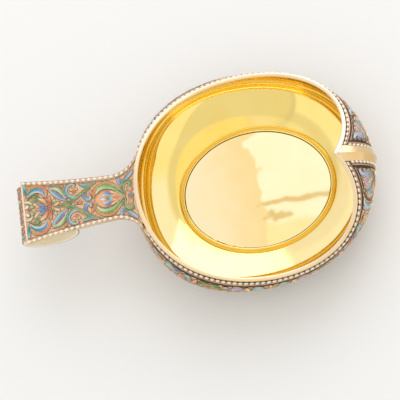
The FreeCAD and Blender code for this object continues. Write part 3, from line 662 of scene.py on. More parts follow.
# %% Foot
def oval_strip(name, profile, half_axes, vertices):
    """A closed band of ovals: each place of the profile is a reach and a height."""
    bpy.ops.object.select_all(action="DESELECT")
    reach, height = profile[0]
    bpy.ops.mesh.primitive_circle_add(vertices=vertices, radius=1)
    strip = bpy.context.object
    strip.name = name
    bpy.ops.object.mode_set(mode="EDIT")
    bpy.ops.mesh.select_all(action="SELECT")
    bpy.ops.transform.resize(value=((half_axes[0] + reach) * MM, (half_axes[1] + reach) * MM, 1))
    bpy.ops.transform.translate(value=(0, 0, height * MM))
    for next_reach, next_height in profile[1:] + profile[:1]:
        bpy.ops.mesh.extrude_edges_move()
        bpy.ops.transform.resize(value=((half_axes[0] + next_reach) / (half_axes[0] + reach),
                                        (half_axes[1] + next_reach) / (half_axes[1] + reach), 1),
                                 center_override=(0, 0, 0))
        bpy.ops.transform.translate(value=(0, 0, (next_height - height) * MM))
        reach, height = next_reach, next_height
    bpy.ops.mesh.select_all(action="SELECT")
    bpy.ops.mesh.remove_doubles(threshold=2e-6)
    bpy.ops.mesh.normals_make_consistent(inside=False)
    bpy.ops.object.mode_set(mode="OBJECT")
    return strip


foot_profile = [(-1.4, 0.0), (0.75, 0.0), (0.9, 0.15), (0.9, 0.7), (0.7, 0.9), (0.15, 0.95),
                (-0.3, 1.3), (-0.9, 2.4), (-1.35, 3.4), (-1.5, 4.0), (-3.0, 4.0), (-2.7, 3.0)]
foot_half = (41.0, 33.6)
foot = oval_strip("foot_strip", foot_profile, foot_half, 144)
finished(foot, band_gilt, ["foot_ring"])

# %% [markdown]
# ## The rim
# A plain gilt band caps the wall. Its section is a flat arch with softened corners, carried
# round the heart of the rim.

# %% Rim band
rim_profile = [(0.0, -1.2), (0.0, -0.22), (0.05, 0.0), (0.2, 0.12), (0.5, 0.20), (1.0, 0.25),
               (1.5, 0.22), (1.82, 0.14), (1.95, 0.0), (2.0, -0.22), (2.0, -1.2), (1.0, -1.2),
               (0.0, -1.2)]
rim_places = np.array([across_rim(half_turns, outwards) + np.array([0, 0, lift])
                       for outwards, lift in rim_profile]).transpose(1, 0, 2)
sheet("rim_band", mirror_half(rim_places), band_gilt, ["rim_moulding"], sharp=50)

# %% [markdown]
# ## The keel band
# A plain band covers the fold of the prow. It has two flat facets that meet in a ridge, so its
# section is three lines of places: edge, ridge, edge. Its heights are taken square to the keel,
# and its underside is sunk a little into the wall.

# %% Keel band
ridge_height, edge_height, keel_sunk = 1.7, 0.6, 0.3


def keel_section(depth):
    """Places across the keel band at a depth, from the starboard edge over the ridge to port."""
    edge = keel_turn(np.array([depth]), np.array([keel_half_width(depth)]))[0]
    shares = np.linspace(0, 1, 7)
    turns = edge * shares
    surface = on_wall(turns, np.full(7, depth), np.zeros(7))
    normal = on_wall(turns, np.full(7, depth), np.ones(7)) - surface
    normal[:, 1] = 0
    normal /= np.linalg.norm(normal, axis=1, keepdims=True)
    port_top = surface + normal * (ridge_height + (edge_height - ridge_height) * shares)[:, None]
    port_top[0, 1] = 0
    port_low = surface - normal * keel_sunk
    port_low[0, 1] = 0
    side = np.array([1, -1, 1])
    top = np.concatenate([port_top[::-1] * side, port_top[1:]])
    low = np.concatenate([port_low[::-1] * side, port_low[1:]])
    return np.concatenate([top, low[::-1], top[:1]])


keel_places = np.array([keel_section(depth) for depth in np.linspace(0.0, keel_length, 60)])
sheet("keel_band", keel_places, keel_gilt, ["keel_strip"], caps=True, sharp=12)

# %% [markdown]
# ## The handle
# The handle is a flat plate with hollow sides: a long gentle arc from the free end to the
# narrow neck, and a short arc that flares out to the bowl. Its half width is therefore a
# function of the distance from the bowl's centre.

# %% Handle plate
plate_top, plate_low = 36.4, 35.0
handle_end, neck, handle_root = 111.8, 66.0, 53.4


def arc_centre(x1, y1, x2, y2, radius):
    """Centre of the arc through two places, on the side away from the handle's axis."""
    run, rise = x2 - x1, y2 - y1
    chord = math.hypot(run, rise)
    reach = math.sqrt(radius ** 2 - chord ** 2 / 4)
    return (x1 + x2) / 2 - rise / chord * reach, (y1 + y2) / 2 + run / chord * reach


neck_half, end_half_width, side_radius, flare_radius = 11.4, 16.2, 376.0, 14.6
side_centre = arc_centre(neck, neck_half, handle_end, end_half_width, side_radius)


def handle_half_width(x):
    """Half width of the handle at a distance from the bowl's centre."""
    long_side = side_centre[1] - np.sqrt(side_radius ** 2 - (x - side_centre[0]) ** 2)
    hollow = np.sqrt(np.maximum(flare_radius ** 2 - (neck - x) ** 2, 0))
    return np.where(x < neck, neck_half + flare_radius - hollow, long_side)


def handle_slab(distances, section, inset=0.0):
    """Places of a slab: at each distance, a section of shares of the half width and heights."""
    lines = []
    for x in distances:
        half = handle_half_width(x) - inset
        lines.append([(-x, half * share - np.sign(share) * trim, z) for share, trim, z in section])
    return np.array(lines, dtype=float)


plate_section = [(-1, 0.2, plate_low), (0, 0, plate_low), (1, 0.2, plate_low), (1, 0, 35.2),
                 (1, 0, 36.2), (1, 0.2, plate_top), (0, 0, plate_top), (-1, 0.2, plate_top),
                 (-1, 0, 36.2), (-1, 0, 35.2), (-1, 0.2, plate_low)]
plate_distances = np.concatenate([np.linspace(handle_root, neck, 25), np.linspace(67.5, handle_end, 32)])
plate_places = handle_slab(plate_distances, plate_section)
sheet("handle_slab", plate_places, band_gilt, ["handle_plate"], caps=True)
print("handle half width at the end and neck:", handle_half_width(np.array([handle_end, neck])))

# %% [markdown]
# ## Flat patterns bent into place
# Wires, cells, bead borders and the curl are all made flat: a place along, a place across and
# a height. A layout then puts each of them on the wall, on the handle or round the curl.
# Hundreds of small cells would be slow to add by operators one at a time, so they are gathered
# in one pile of corners and faces, and the pile becomes one mesh.

# %% Pile helper
class Pile:
    """Corners, faces, colours and finishes of many small shapes that become one piece."""

    def __init__(self, layout):
        self.layout = layout
        self.corners, self.faces, self.tints, self.kinds = [], [], [], []
        self.count = 0

    def add(self, flat, faces, kinds, tints=None, ends=()):
        """flat is an array of along, across, height; ends are more faces, in the first finish."""
        self.corners.append(self.layout(*flat.T))
        self.tints.append(np.ones((len(flat), 4)) if tints is None else tints)
        for group, kind in ((faces, kinds), *((end, np.zeros(len(end))) for end in ends)):
            self.faces.append(np.asarray(group) + self.count)
            self.kinds.append(kind)
        self.count += len(flat)

    def piece(self, name, finishes, slot, replaces=(), sharp=50):
        """Turns the pile into one object with its finishes."""
        corners = np.concatenate(self.corners) * MM
        mesh = bpy.data.meshes.new(name)
        mesh.vertices.add(len(corners))
        mesh.vertices.foreach_set("co", corners.astype(np.float32).ravel())
        sides = np.concatenate([np.full(len(faces), faces.shape[1]) for faces in self.faces])
        mesh.loops.add(int(sides.sum()))
        mesh.loops.foreach_set("vertex_index", np.concatenate([faces.ravel() for faces in self.faces])
                               .astype(np.int32))
        mesh.polygons.add(len(sides))
        mesh.polygons.foreach_set("loop_start", (np.cumsum(sides) - sides).astype(np.int32))
        for finish in finishes:
            mesh.materials.append(finish)
        mesh.polygons.foreach_set("material_index", np.concatenate(self.kinds).astype(np.int32))
        tint = mesh.color_attributes.new("tint", "FLOAT_COLOR", "POINT")
        tint.data.foreach_set("color", np.concatenate(self.tints).astype(np.float32).ravel())
        mesh.update()
        mesh.validate()
        piece = bpy.data.objects.new(name, mesh)
        bpy.context.scene.collection.objects.link(piece)
        bpy.ops.object.select_all(action="DESELECT")
        piece.select_set(True)
        bpy.context.view_layer.objects.active = piece
        bpy.ops.object.mode_set(mode="EDIT")
        bpy.ops.mesh.select_all(action="SELECT")
        bpy.ops.mesh.remove_doubles(threshold=1e-6)
        bpy.ops.mesh.normals_make_consistent(inside=False)
        bpy.ops.object.mode_set(mode="OBJECT")
        return finished(piece, None, replaces, sharp)


def grid_faces(rows, columns):
    """The faces of a grid of corners that is closed along its columns."""
    row, column = np.meshgrid(np.arange(rows - 1), np.arange(columns), indexing="ij")
    after = (column + 1) % columns
    return np.stack([row * columns + column, row * columns + after,
                     (row + 1) * columns + after, (row + 1) * columns + column], axis=-1).reshape(-1, 4)


both_sides = (("port", False), ("starboard", True))


def on_side(layout, mirror):
    """A layout of the port side, or the same one mirrored to starboard."""
    def placed(along, across, height):
        place = layout(along, across, height)
        return place * (1, -1, 1) if mirror else place
    return placed


def along_spine(spine, samples):
    """A smooth line through the corners of a spine, evenly spaced, and its direction."""
    spine = np.asarray(spine, dtype=float)
    if len(spine) > 2:
        padded = np.vstack([2 * spine[0] - spine[1], spine, 2 * spine[-1] - spine[-2]])
        fine = []
        for i in range(1, len(padded) - 2):
            for s in np.linspace(0, 1, 12, endpoint=False):
                before, a, b, after = padded[i - 1:i + 3]
                fine.append(0.5 * (2 * a + (b - before) * s + (2 * before - 5 * a + 4 * b - after)
                                   * s ** 2 + (3 * a - before - 3 * b + after) * s ** 3))
        fine.append(padded[-2])
        spine = np.array(fine)
    run = np.concatenate([[0], np.cumsum(np.linalg.norm(np.diff(spine, axis=0), axis=1))])
    even = np.linspace(0, run[-1], samples)
    line = np.stack([np.interp(even, run, spine[:, axis]) for axis in (0, 1)], axis=1)
    heading = np.gradient(line, axis=0)
    heading /= np.maximum(np.linalg.norm(heading, axis=1, keepdims=True), 1e-9)
    return line, heading, even / run[-1]


# %% [markdown]
# ## Bead borders
# A border is a low strip with a wire along each side and a row of beads between them. On the
# wall a dark line of tarnish and painted shade lies outside each wire, and on the handle the floor
# is gilt. The strip's section is carried along the border, and numbers say which finish each side
# has: 0 for tarnish and painted shade, 1 for wire, 2 for gilding and 3 for enamel.

# %% Border strip
bead_width = 2.2
wire_low, wire_high = 0.30, 0.62


def wire_profile(first, last):
    """One wire of a border: up its outer side, over its rounded top and down."""
    return [(first, 0.12), (first + 0.03, wire_low), ((first + last) / 2, wire_high - 0.12),
            (last - 0.03, wire_low), (last, 0.16)]


def border_section(on_plate):
    """Across a border that starts with its outer dark line, or with its gilt side."""
    edge, outer, inner = -0.56, (-0.44, -0.30), (1.12, 1.96)
    if on_plate:
        edge, outer, inner = 0.0, (0.05, 0.38), (1.88, 2.14)
    return ([(edge, 0.02), (edge + 0.04, 0.12)] + wire_profile(*outer) + wire_profile(*inner)
            + [(bead_width + 0.45, 0.25), (bead_width + 0.74, 0.02), (bead_width, -0.2), (edge, -0.2)])


dark_kinds = [0, 0, 1, 1, 1, 1, 0, 1, 1, 1, 1, 0, 0, 0, 0, 0]
gilt_kinds = [2, 2, 1, 1, 1, 1, 2, 1, 1, 1, 1, 0, 0, 0, 2, 2]


def border_base(pile, samples, length, on_plate):
    """Dark line, wire, floor, wire and dark line, the length of a border."""
    section = np.array(border_section(on_plate))
    flat = np.array([[(along, across, height) for across, height in section]
                     for along in np.linspace(0, length, samples)]).reshape(-1, 3)
    last = len(section) - 1
    fours = [[0, 1, 2, last], [2, 6, 7, last], [7, 11, last - 1, last], [11, 12, 13, last - 1],
             [2, 3, 5, 6], [7, 8, 10, 11]]
    threes = [[3, 4, 5], [8, 9, 10]]
    ends = [np.concatenate([near, np.array(near) + len(flat) - len(section)]) for near in (fours, threes)]
    pile.add(flat, grid_faces(samples, len(section)),
             np.tile(gilt_kinds if on_plate else dark_kinds, samples - 1), ends=ends)


# %% [markdown]
# ## Beads
# Hundreds of enamel beads sit in the borders, with a grain of gilding between each two. One
# bead is a ball of few faces with its lower part cut off. It is copied along a border at even
# spaces, each copy pressed into the layout, so the rows bend with the wall. The borders run
# under the rim, beside the keel band, above the foot and along the handle.

# %% One bead
bpy.ops.object.select_all(action="DESELECT")
bpy.ops.mesh.primitive_uv_sphere_add(segments=8, ring_count=6, radius=1)
bead = bpy.context.object
bpy.ops.object.mode_set(mode="EDIT")
bpy.ops.mesh.select_all(action="SELECT")
bpy.ops.mesh.bisect(plane_co=(0, 0, -0.35), plane_no=(0, 0, 1), clear_inner=True, use_fill=True)
bpy.ops.mesh.select_all(action="SELECT")
bpy.ops.mesh.quads_convert_to_tris()
bpy.ops.object.mode_set(mode="OBJECT")
bead_corners = np.array([tuple(corner.co) for corner in bead.data.vertices])
squareness = 0.7
bead_corners[:, :2] = np.sign(bead_corners[:, :2]) * np.abs(bead_corners[:, :2]) ** squareness
bead_faces = np.array([tuple(face.vertices) for face in bead.data.polygons])
bpy.data.objects.remove(bead)
print("one bead has", len(bead_faces), "faces")


# %% Border helpers
def measured(layout, across=bead_width / 2, places=400):
    """The same layout with its run measured in millimetres, and the length of the run."""
    shares = np.linspace(0, 1, places)
    line = layout(shares, np.full(places, across), np.zeros(places))
    run = np.concatenate([[0], np.cumsum(np.linalg.norm(np.diff(line, axis=0), axis=1))])

    def in_millimetres(along, across, height):
        return layout(np.interp(along, run, shares), across, height)
    return in_millimetres, run[-1]


def bead_row(pile, length, pitch, on_plate):
    """Big enamel beads at even spaces, and a small gilt one between each two."""
    step = length / max(int(round(length / pitch)), 1)
    across, bead_lift = 1.13 if on_plate else 0.44, 0.36
    big = bead_corners * ((0.36, 0.82, 0.72) if on_plate else (0.40, 0.58, 0.66)) * (pitch, 1, 1)
    small = bead_corners * ((0.14, 0.36, 0.46) if on_plate else (0.13, 0.36, 0.44)) * (pitch, 1, 1)
    for spot in np.arange(step / 2, length, step):
        for corners, kind, middle in ((big, 3, spot), (small, 1, spot + step / 2)):
            if middle < length - 0.2:
                pile.add(corners + (middle, across, bead_lift), bead_faces,
                         np.full(len(bead_faces), kind))


def border(name, layout, pitch, samples, replaces, mirror=False, on_plate=False):
    """One bead border; the starboard ones are the port ones mirrored."""
    in_millimetres, length = measured(layout)
    pile = Pile(on_side(in_millimetres, mirror))
    border_base(pile, samples, length, on_plate)
    bead_row(pile, length, pitch, on_plate)
    # On the wall the wires take the darker gilt, which is partly painted shade.
    return pile.piece(name, [recess, wire_gilt if on_plate else brown_gilt_and_painted_shade, soft_gilt, cream],
                      "bead_enamel", replaces)


# %% Borders
rim_gap, foot_gap = 1.0, 5.0
field_top = rim_gap + bead_width
field_low = foot_gap + bead_width


def rim_border_layout(share, across, height):
    """Under the rim, from the keel band to the handle's root."""
    depth = rim_gap + across
    start = keel_turn(depth, keel_half_width(depth))
    return on_wall(start + (root_turn - start) * share, depth, height)


def keel_border_layout(share, across, height):
    """Beside the keel band, from the rim's border down to the low one."""
    depth = field_top + (float(wall_length(0.0)) - field_low - field_top) * share
    return on_wall(keel_turn(depth, keel_half_width(depth) + across), depth, height)


def low_border_layout(share, across, height):
    """Above the foot, from the keel band to the back."""
    depth = float(wall_length(0.0)) - field_low + across
    start = keel_turn(depth, keel_half_width(depth))
    t = start + (math.pi - start) * share
    return on_wall(t, wall_length(t) - field_low + across, height)


def handle_border_layout(share, across, height):
    """Along the handle's side, from its free end to its root."""
    x = handle_end + (handle_root - handle_end) * share
    return stack(-x, handle_half_width(x) - across, plate_top + height)


border_plan = [("rim", rim_border_layout, 2.75, 220), ("keel", keel_border_layout, 2.25, 40),
               ("low", low_border_layout, 2.75, 200), ("handle", handle_border_layout, 2.75, 80)]
for border_name, layout, pitch, samples in border_plan:
    for side, mirror in both_sides:
        border("%s_beads_%s" % (border_name, side), layout, pitch, samples,
               ["%s_bead_border_%s" % (border_name, side)], mirror, border_name == "handle")


# %% [markdown]
# ## The enamelled grounds
# Between the bead borders the wall carries the enamel: two framed panels beside the prow, the
# long field on each side, and a field under the handle. The ground of each is a thin sheet of
# stippled gilt metal that follows the wall. Two of its edges are turns that may change with
# the depth, and the other two are depths that may change with the turn.

# %% Grounds on the wall
def patch(turn_from, turn_to, depth_from, depth_to):
    """A layout for a part of the wall: along and across are shares of its two spans."""
    def layout(along, across, height):
        along, across, height = np.broadcast_arrays(along, across, height)
        depth = 0 * along + 10.0
        for settling in range(4):
            start = turn_from(depth)
            t = start + (turn_to(depth) - start) * along
            depth = depth_from(t) + (depth_to(t) - depth_from(t)) * across
        return on_wall(t, depth, height)
    return layout


def beside_keel(distance):
    return lambda depth: keel_turn(depth, keel_half_width(depth) + distance)


def at_turn(t):
    return lambda depth: t


def below_rim(depth):
    return lambda t: depth


def above_seat(margin):
    return lambda t: wall_length(t) - margin


def ground_slab(name, layout, size, thickness, replaces, mirror=False):
    """A thin closed sheet laid on the wall, with its underside sunk into the metal."""
    sunk = -0.25
    along, across = np.linspace(0, 1, size[0]), np.linspace(0, 1, size[1])
    loop_across = np.concatenate([across, across[::-1], across[:1]])
    loop_height = np.concatenate([np.full(size[1], thickness), np.full(size[1], sunk), [thickness]])
    places = on_side(layout, mirror)(along[:, None], loop_across[None, :], loop_height[None, :])
    return sheet(name, places, ground, replaces, caps=True, sharp=35)


panel_from, panel_to, panel_margin = bead_width + 0.7, bead_width + 19.7, 0.7
under_plate, ground_thickness = 6.2, 0.2
panel_patch = patch(beside_keel(panel_from), beside_keel(panel_to),
                    below_rim(field_top + panel_margin), above_seat(field_low + panel_margin))
field_patch = patch(beside_keel(panel_to + 0.1), at_turn(root_turn), below_rim(field_top),
                    above_seat(field_low))
aft_patch = patch(at_turn(root_turn), at_turn(2 * math.pi - root_turn), below_rim(under_plate),
                  above_seat(field_low))
for side, mirror in both_sides:
    ground_slab("panel_ground_" + side, panel_patch, (40, 40), ground_thickness,
                ["prow_panel_" + side], mirror)
    ground_slab("field_ground_" + side, field_patch, (160, 40), ground_thickness,
                ["enamel_field_" + side], mirror)
ground_slab("aft_ground", aft_patch, (50, 40), ground_thickness, ["enamel_field_aft"])

# %% Handle ground and end wire
ground_low, ground_top = 36.2, 36.62
wire_radius, wire_height = 0.5, 36.5
ground_section = [(-1, 0, ground_low), (1, 0, ground_low), (1, 0, ground_top), (-1, 0, ground_top),
                  (-1, 0, ground_low)]
ground_distances = np.concatenate([np.linspace(handle_root, neck, 20),
                                   np.linspace(67, handle_end - 1.0, 30)])
ground_places = handle_slab(ground_distances, ground_section, bead_width)
sheet("handle_ground", ground_places, ground, ["handle_enamel"], caps=True)
end_half = float(handle_half_width(np.array(handle_end))) - bead_width
wire_turns = np.linspace(0, 2 * math.pi, 13)
wire_places = np.array([stack(-handle_end + wire_radius - wire_radius * np.cos(wire_turns), y,
                              wire_height + wire_radius * np.sin(wire_turns))
                        for y in np.linspace(-end_half, end_half, 3)])
sheet("end_wire", wire_places, band_gilt, ["handle_end_wire"], caps=True)

# %% [markdown]
# ## The curl
# A strap carries on from the handle's free end, curls under and comes back up to the plate,
# which makes the loop for a finger. Its line is three arcs and two short straights. Every
# piece of the curl is laid out along that line, across it and outwards from it, and the strap
# narrows a little as it comes back.

# %% Curl layout
def arc_line(centre, radius, first, last, places):
    """Places on an arc between two angles in degrees, and the directions outwards."""
    angles = np.radians(np.linspace(first, last, places))
    out = np.stack([np.cos(angles), np.sin(angles)], axis=1)
    return np.array(centre) + out * radius, out


strap_half, strap_end_half, half_thickness = 14.2, 12.0, 0.6
taper_from, taper_run = -120.6, 39.6
end_bulge, end_drop = 3.8, 7.0
end_radius = (end_bulge ** 2 + end_drop ** 2) / (2 * end_bulge)
first_angle = math.degrees(math.atan2(end_drop, end_bulge - end_radius))
curl_parts = [arc_line((-115.6 + end_radius, 30.0), end_radius, first_angle, 180, 12),
              arc_line((-103.6, 30.0), 12.0, 180, 270, 22),
              arc_line((-101.5, 33.5), 15.5, 270, 360, 24),
              (np.array([[-86.0, 34.2], [-86.0, 35.0]]), np.array([[1.0, 0.0], [1.0, 0.0]]))]
curl_line = np.concatenate([part[0] for part in curl_parts])
curl_out = np.concatenate([part[1] for part in curl_parts])
curl_run = np.concatenate([[0], np.cumsum(np.linalg.norm(np.diff(curl_line, axis=0), axis=1))])
keep = np.concatenate([[True], np.diff(curl_run) > 1e-6])
curl_line, curl_out, curl_run = curl_line[keep], curl_out[keep], curl_run[keep]
curl_length = curl_run[-1]


def curl_layout(along, across, height):
    """Along the curl, across it at the end's width, and out from the strap's outer face."""
    along, across, height = np.broadcast_arrays(along, across, height)
    x, z = (np.interp(along, curl_run, curl_line[:, axis]) for axis in (0, 1))
    out_x, out_z = (np.interp(along, curl_run, curl_out[:, axis]) for axis in (0, 1))
    taper = (strap_half + (strap_end_half - strap_half) * (x - taper_from) / taper_run) / strap_half
    outer = height - half_thickness
    return stack(x + out_x * outer, across * taper, z + out_z * outer)


def curl_sheet(name, section, finish, replaces, mirror=False):
    """A section of places across and outwards, carried along the curl."""
    along = np.linspace(0, curl_length, 72)[:, None]
    across, height = np.array(section + section[:1], dtype=float).T
    places = curl_layout(along, -across if mirror else across, height)
    return sheet(name, places, finish, replaces, caps=True, sharp=45)


strap_section = [(-14.0, 0), (14.0, 0), (14.2, -0.2), (14.2, -0.9), (14.0, -1.1), (-14.0, -1.1),
                 (-14.2, -0.9), (-14.2, -0.2)]
curl_ground_section = [(-13.2, 0.2), (0, 0.2), (13.2, 0.2), (13.2, -0.2), (0, -0.2), (-13.2, -0.2)]
edge_wire_section = [(13.2, -0.1), (13.2, 0.3), (13.4, 0.55), (13.7, 0.62), (14.0, 0.55),
                     (14.2, 0.3), (14.2, -0.1)]
# The strap's pale finish is a painted reflection of the table.
curl_sheet("curl_strap", strap_section, painted_reflection_gilt, ["hook_strap"])
curl_sheet("curl_ground", curl_ground_section, ground, ["hook_enamel"])
for side, mirror in both_sides:
    curl_sheet("curl_wire_" + side, edge_wire_section, brown_gilt_and_painted_shade,
               ["hook_edge_wire_" + side], mirror)

# %% [markdown]
# ## Cells of enamel
# Cloisonné cells are fenced by flat wires on edge and filled with enamel, which is often
# shaded from a deep tone at the base to a pale one at the tip. Each cell here is a ribbon on a
# curved spine: a dome of enamel, a wire on each side that closes round both tips, and the dark
# line outside the wire. The corners carry the colours, so a tone can run along or across.

# %% Tones of the enamels
def tone(red, green, blue):
    """A colour as seen on a screen, 0 to 255, as the light that a material works with."""
    values = np.array([red, green, blue]) / 255
    return np.where(values < 0.04045, values / 12.92, ((values + 0.055) / 1.055) ** 2.4)


tones = {"deep_blue": tone(52, 104, 168), "blue": tone(86, 142, 200), "sky": tone(140, 182, 214),
         "pale_blue": tone(190, 212, 222), "teal": tone(48, 140, 152), "pale_teal": tone(140, 200, 204),
         "deep_teal": tone(28, 96, 100), "deep_green": tone(40, 88, 42), "green": tone(66, 128, 60),
         "leaf": tone(112, 166, 84), "pale_green": tone(184, 214, 160), "cream": tone(240, 226, 192),
         "white": tone(236, 236, 226), "coral": tone(222, 112, 78), "peach": tone(238, 176, 130),
         "orange": tone(222, 136, 66), "amber": tone(214, 158, 82), "red": tone(184, 62, 44),
         "lilac": tone(170, 156, 196), "pink": tone(226, 160, 146), "grey_blue": tone(122, 148, 170)}
print("tones:", len(tones))

# %% One cell
# Each place across a cell says its side, its share of the half width, how far it is beyond that,
# its height and its share of the dome.
cell_lift = 0.16
wire_width, dark_width, scallop_depth = 0.21, 0.34, 0.34
half_cell = [(1, wire_width + dark_width, 0.03, 0), (1, wire_width, 0.10, 0),
             (1, wire_width * 0.85, 0.34, 0), (1, wire_width * 0.1, 0.34, 0), (1, 0, 0.15, 0),
             (0.55, 0, 0.15, 0.75), (0, 0, 0.15, 1.0)]
dark_edge = (1, wire_width + dark_width, -0.12, 0)
cell_section = ([(1, *part) for part in half_cell] + [(-1, *part) for part in half_cell[-2::-1]]
                + [(-1, *dark_edge), (1, *dark_edge)])
# Kind 0 is the dark ring outside the wire: tarnish and painted shade.
cell_kinds = [0, 1, 1, 1, 2, 2, 2, 2, 1, 1, 1, 0, 0, 0, 0]


def cell(pile, spine, widths, colours, sides, scallops, samples, lift):
    """An enamel cell. colours run along the spine; sides are the tones at its left and right.

    scallops is how many scallops its left edge has, or its right edge when the number is negative.
    """
    line, heading, share = along_spine(spine, samples)
    width = np.interp(share, np.linspace(0, 1, len(widths)), widths)
    scalloped = width + scallop_depth * np.abs(np.sin(math.pi * scallops * share))
    crown = np.minimum(0.26, 0.3 * width) / np.maximum(1, width / 1.5)
    body = np.array([tones[name] for name in colours])
    body = np.stack([np.interp(share, np.linspace(0, 1, len(body)), body[:, c]) for c in range(3)],
                    axis=1)
    aside = np.stack([-heading[:, 1], heading[:, 0]], axis=1)
    tips = np.radians([90, 55, 25])
    turn = np.concatenate([tips, np.zeros(samples), tips[::-1]])
    pick = np.concatenate([np.zeros(3, int), np.arange(samples), np.full(3, samples - 1)])
    ahead = np.concatenate([-np.ones(3), np.zeros(samples), np.ones(3)])
    columns = []
    for sign, of_width, beyond, height, dome in cell_section:
        offset = (of_width * (scalloped if sign * scallops > 0 else width) + beyond)[pick]
        spot = (line[pick] + aside[pick] * (sign * offset * np.cos(turn))[:, None]
                + heading[pick] * (ahead * offset * np.sin(turn))[:, None])
        columns.append(np.column_stack([spot, lift + height + dome * crown[pick]]))
    tint = np.ones((len(pick), len(cell_section), 4))
    tint[:, :, :3] = body[pick][:, None, :]
    # A pale edge tone, white above all, is partly the enamel's own shading and partly a painted highlight
    # along the wire.
    for side, (edge_column, next_column) in zip(sides, ((4, 5), (8, 7))):
        if side:
            tint[:, edge_column, :3] = tones[side]
            tint[:, next_column, :3] = (tones[side] + tint[:, next_column, :3]) / 2
    pile.add(np.stack(columns, axis=1).reshape(-1, 3), grid_faces(len(pick), len(cell_section)),
             np.tile(cell_kinds, len(pick) - 1), tint.reshape(-1, 4))


def dark_line(pile, spine, widths, samples=20):
    """A flat dark line without a wire, in the finish of tarnish and painted shade."""
    line, heading, share = along_spine(spine, samples)
    width = np.interp(share, np.linspace(0, 1, len(widths)), widths)
    aside = np.stack([-heading[:, 1], heading[:, 0]], axis=1)
    flat = np.stack([np.column_stack([line + aside * (sign * width)[:, None], np.full(samples, height)])
                     for sign, height in ((1, 0.08), (-1, 0.08), (-1, -0.1), (1, -0.1))], axis=1)
    faces = np.concatenate([grid_faces(samples, 4), [[0, 1, 2, 3]], [np.arange(-4, 0) + 4 * samples]])
    pile.add(flat.reshape(-1, 3), faces, np.zeros(len(faces)))


cell_finishes = [recess, wire_gilt, enamel]
print("places across a cell:", len(cell_section))

# %% [markdown]
# ## The handle's ornament
# The pattern is the traditional scrolling foliage of such enamels, and it is the same on both
# sides of the handle's axis. It is written down as a drawing: for each cell its spine, half
# widths and tones, as distance from the bowl's centre and distance from the axis. Tones for the
# two edges and a number of scallops can follow. Cells off the axis are drawn twice, once on
# each side.

# %% Drawing of the head of the handle
# Edge tones are for the left and the right edge along the spine; None leaves an edge as it is.
# White and pale edge tones are partly the enamel's own shading and partly painted highlight beside the wire.
head_cells = [
    ([(110.3, 12.8), (109.9, 10.6), (109.3, 7.8)], [0.6, 0.75, 0.35], ["pale_teal", "teal", "deep_teal"]),
    ([(108.4, 9.6), (107.3, 11.6), (104.2, 12.2), (100.8, 10.9), (99.2, 8.4), (99.9, 5.6)],
     [0.2, 0.42, 0.42, 0.42, 0.38, 0.2], ["amber", "orange", "coral", "peach"], (None, None), 6),
    ([(109.3, 7.0), (106.9, 9.3), (103.9, 9.9), (101.3, 8.5), (100.5, 6.3)], [0.25, 0.85, 1.15, 0.95, 0.25],
     ["teal", "teal", "blue", "sky"], ("white", "teal")),
    ([(108.7, 6.1), (106.2, 7.6), (104.3, 7.0), (103.9, 5.3), (105.4, 4.4), (106.2, 5.5)],
     [0.25, 0.4, 0.5, 0.5, 0.45], ["deep_green", "green", "green", "leaf"]),
    ([(110.3, 4.6), (108.6, 4.3), (107.4, 3.2)], [0.4, 0.6, 0.3], ["cream", "pale_green"]),
    ([(110.2, 1.7), (109.2, 2.4)], [0.55, 0.7, 0.4], ["cream", "white"]),
    ([(107.6, 1.9), (106.4, 1.5)], [0.4, 0.55, 0.3], ["pale_green", "leaf"]),
    ([(103.5, 5.4), (101.4, 4.2), (99.6, 1.8)], [0.3, 0.75, 0.35], ["cream", "peach", "coral"]),
    ([(103.9, 2.9), (102.4, 2.0), (100.1, 0.7)], [0.2, 0.62, 0.3], ["sky", "blue", "deep_blue"]),
    ([(98.1, 5.6), (98.2, 3.6), (98.0, 1.3)], [0.2, 0.75, 0.4], ["peach", "coral", "red"]),
    ([(95.5, 3.5), (96.4, 1.5)], [0.3, 0.75, 0.3], ["white", "leaf", "green"]),
    ([(93.6, 2.0), (95.9, 0.6)], [0.25, 0.5, 0.25], ["cream", "peach"]),
    ([(97.3, 10.1), (93.9, 9.2), (91.4, 6.9), (89.5, 3.6)], [0.3, 0.68, 0.68, 0.2],
     ["leaf", "pale_green", "leaf", "green"], ("white", "green"), 5),
    ([(97.6, 9.0), (95.3, 6.5), (92.7, 4.4), (89.6, 2.3)], [0.3, 0.8, 0.78, 0.2],
     ["pale_teal", "sky", "blue", "lilac"], ("pale_blue", "deep_blue")),
]
head_middle = [
    ([(108.5, 0.2), (108.4, 0.2)], [0.45], ["deep_teal"]),
    ([(105.0, 0.0), (102.6, 0.0), (99.9, 0.0)], [0.2, 0.62, 0.3], ["pale_blue", "blue", "deep_blue"]),
    ([(98.5, 0.0), (98.2, 0.0)], [0.5], ["red"]),
]

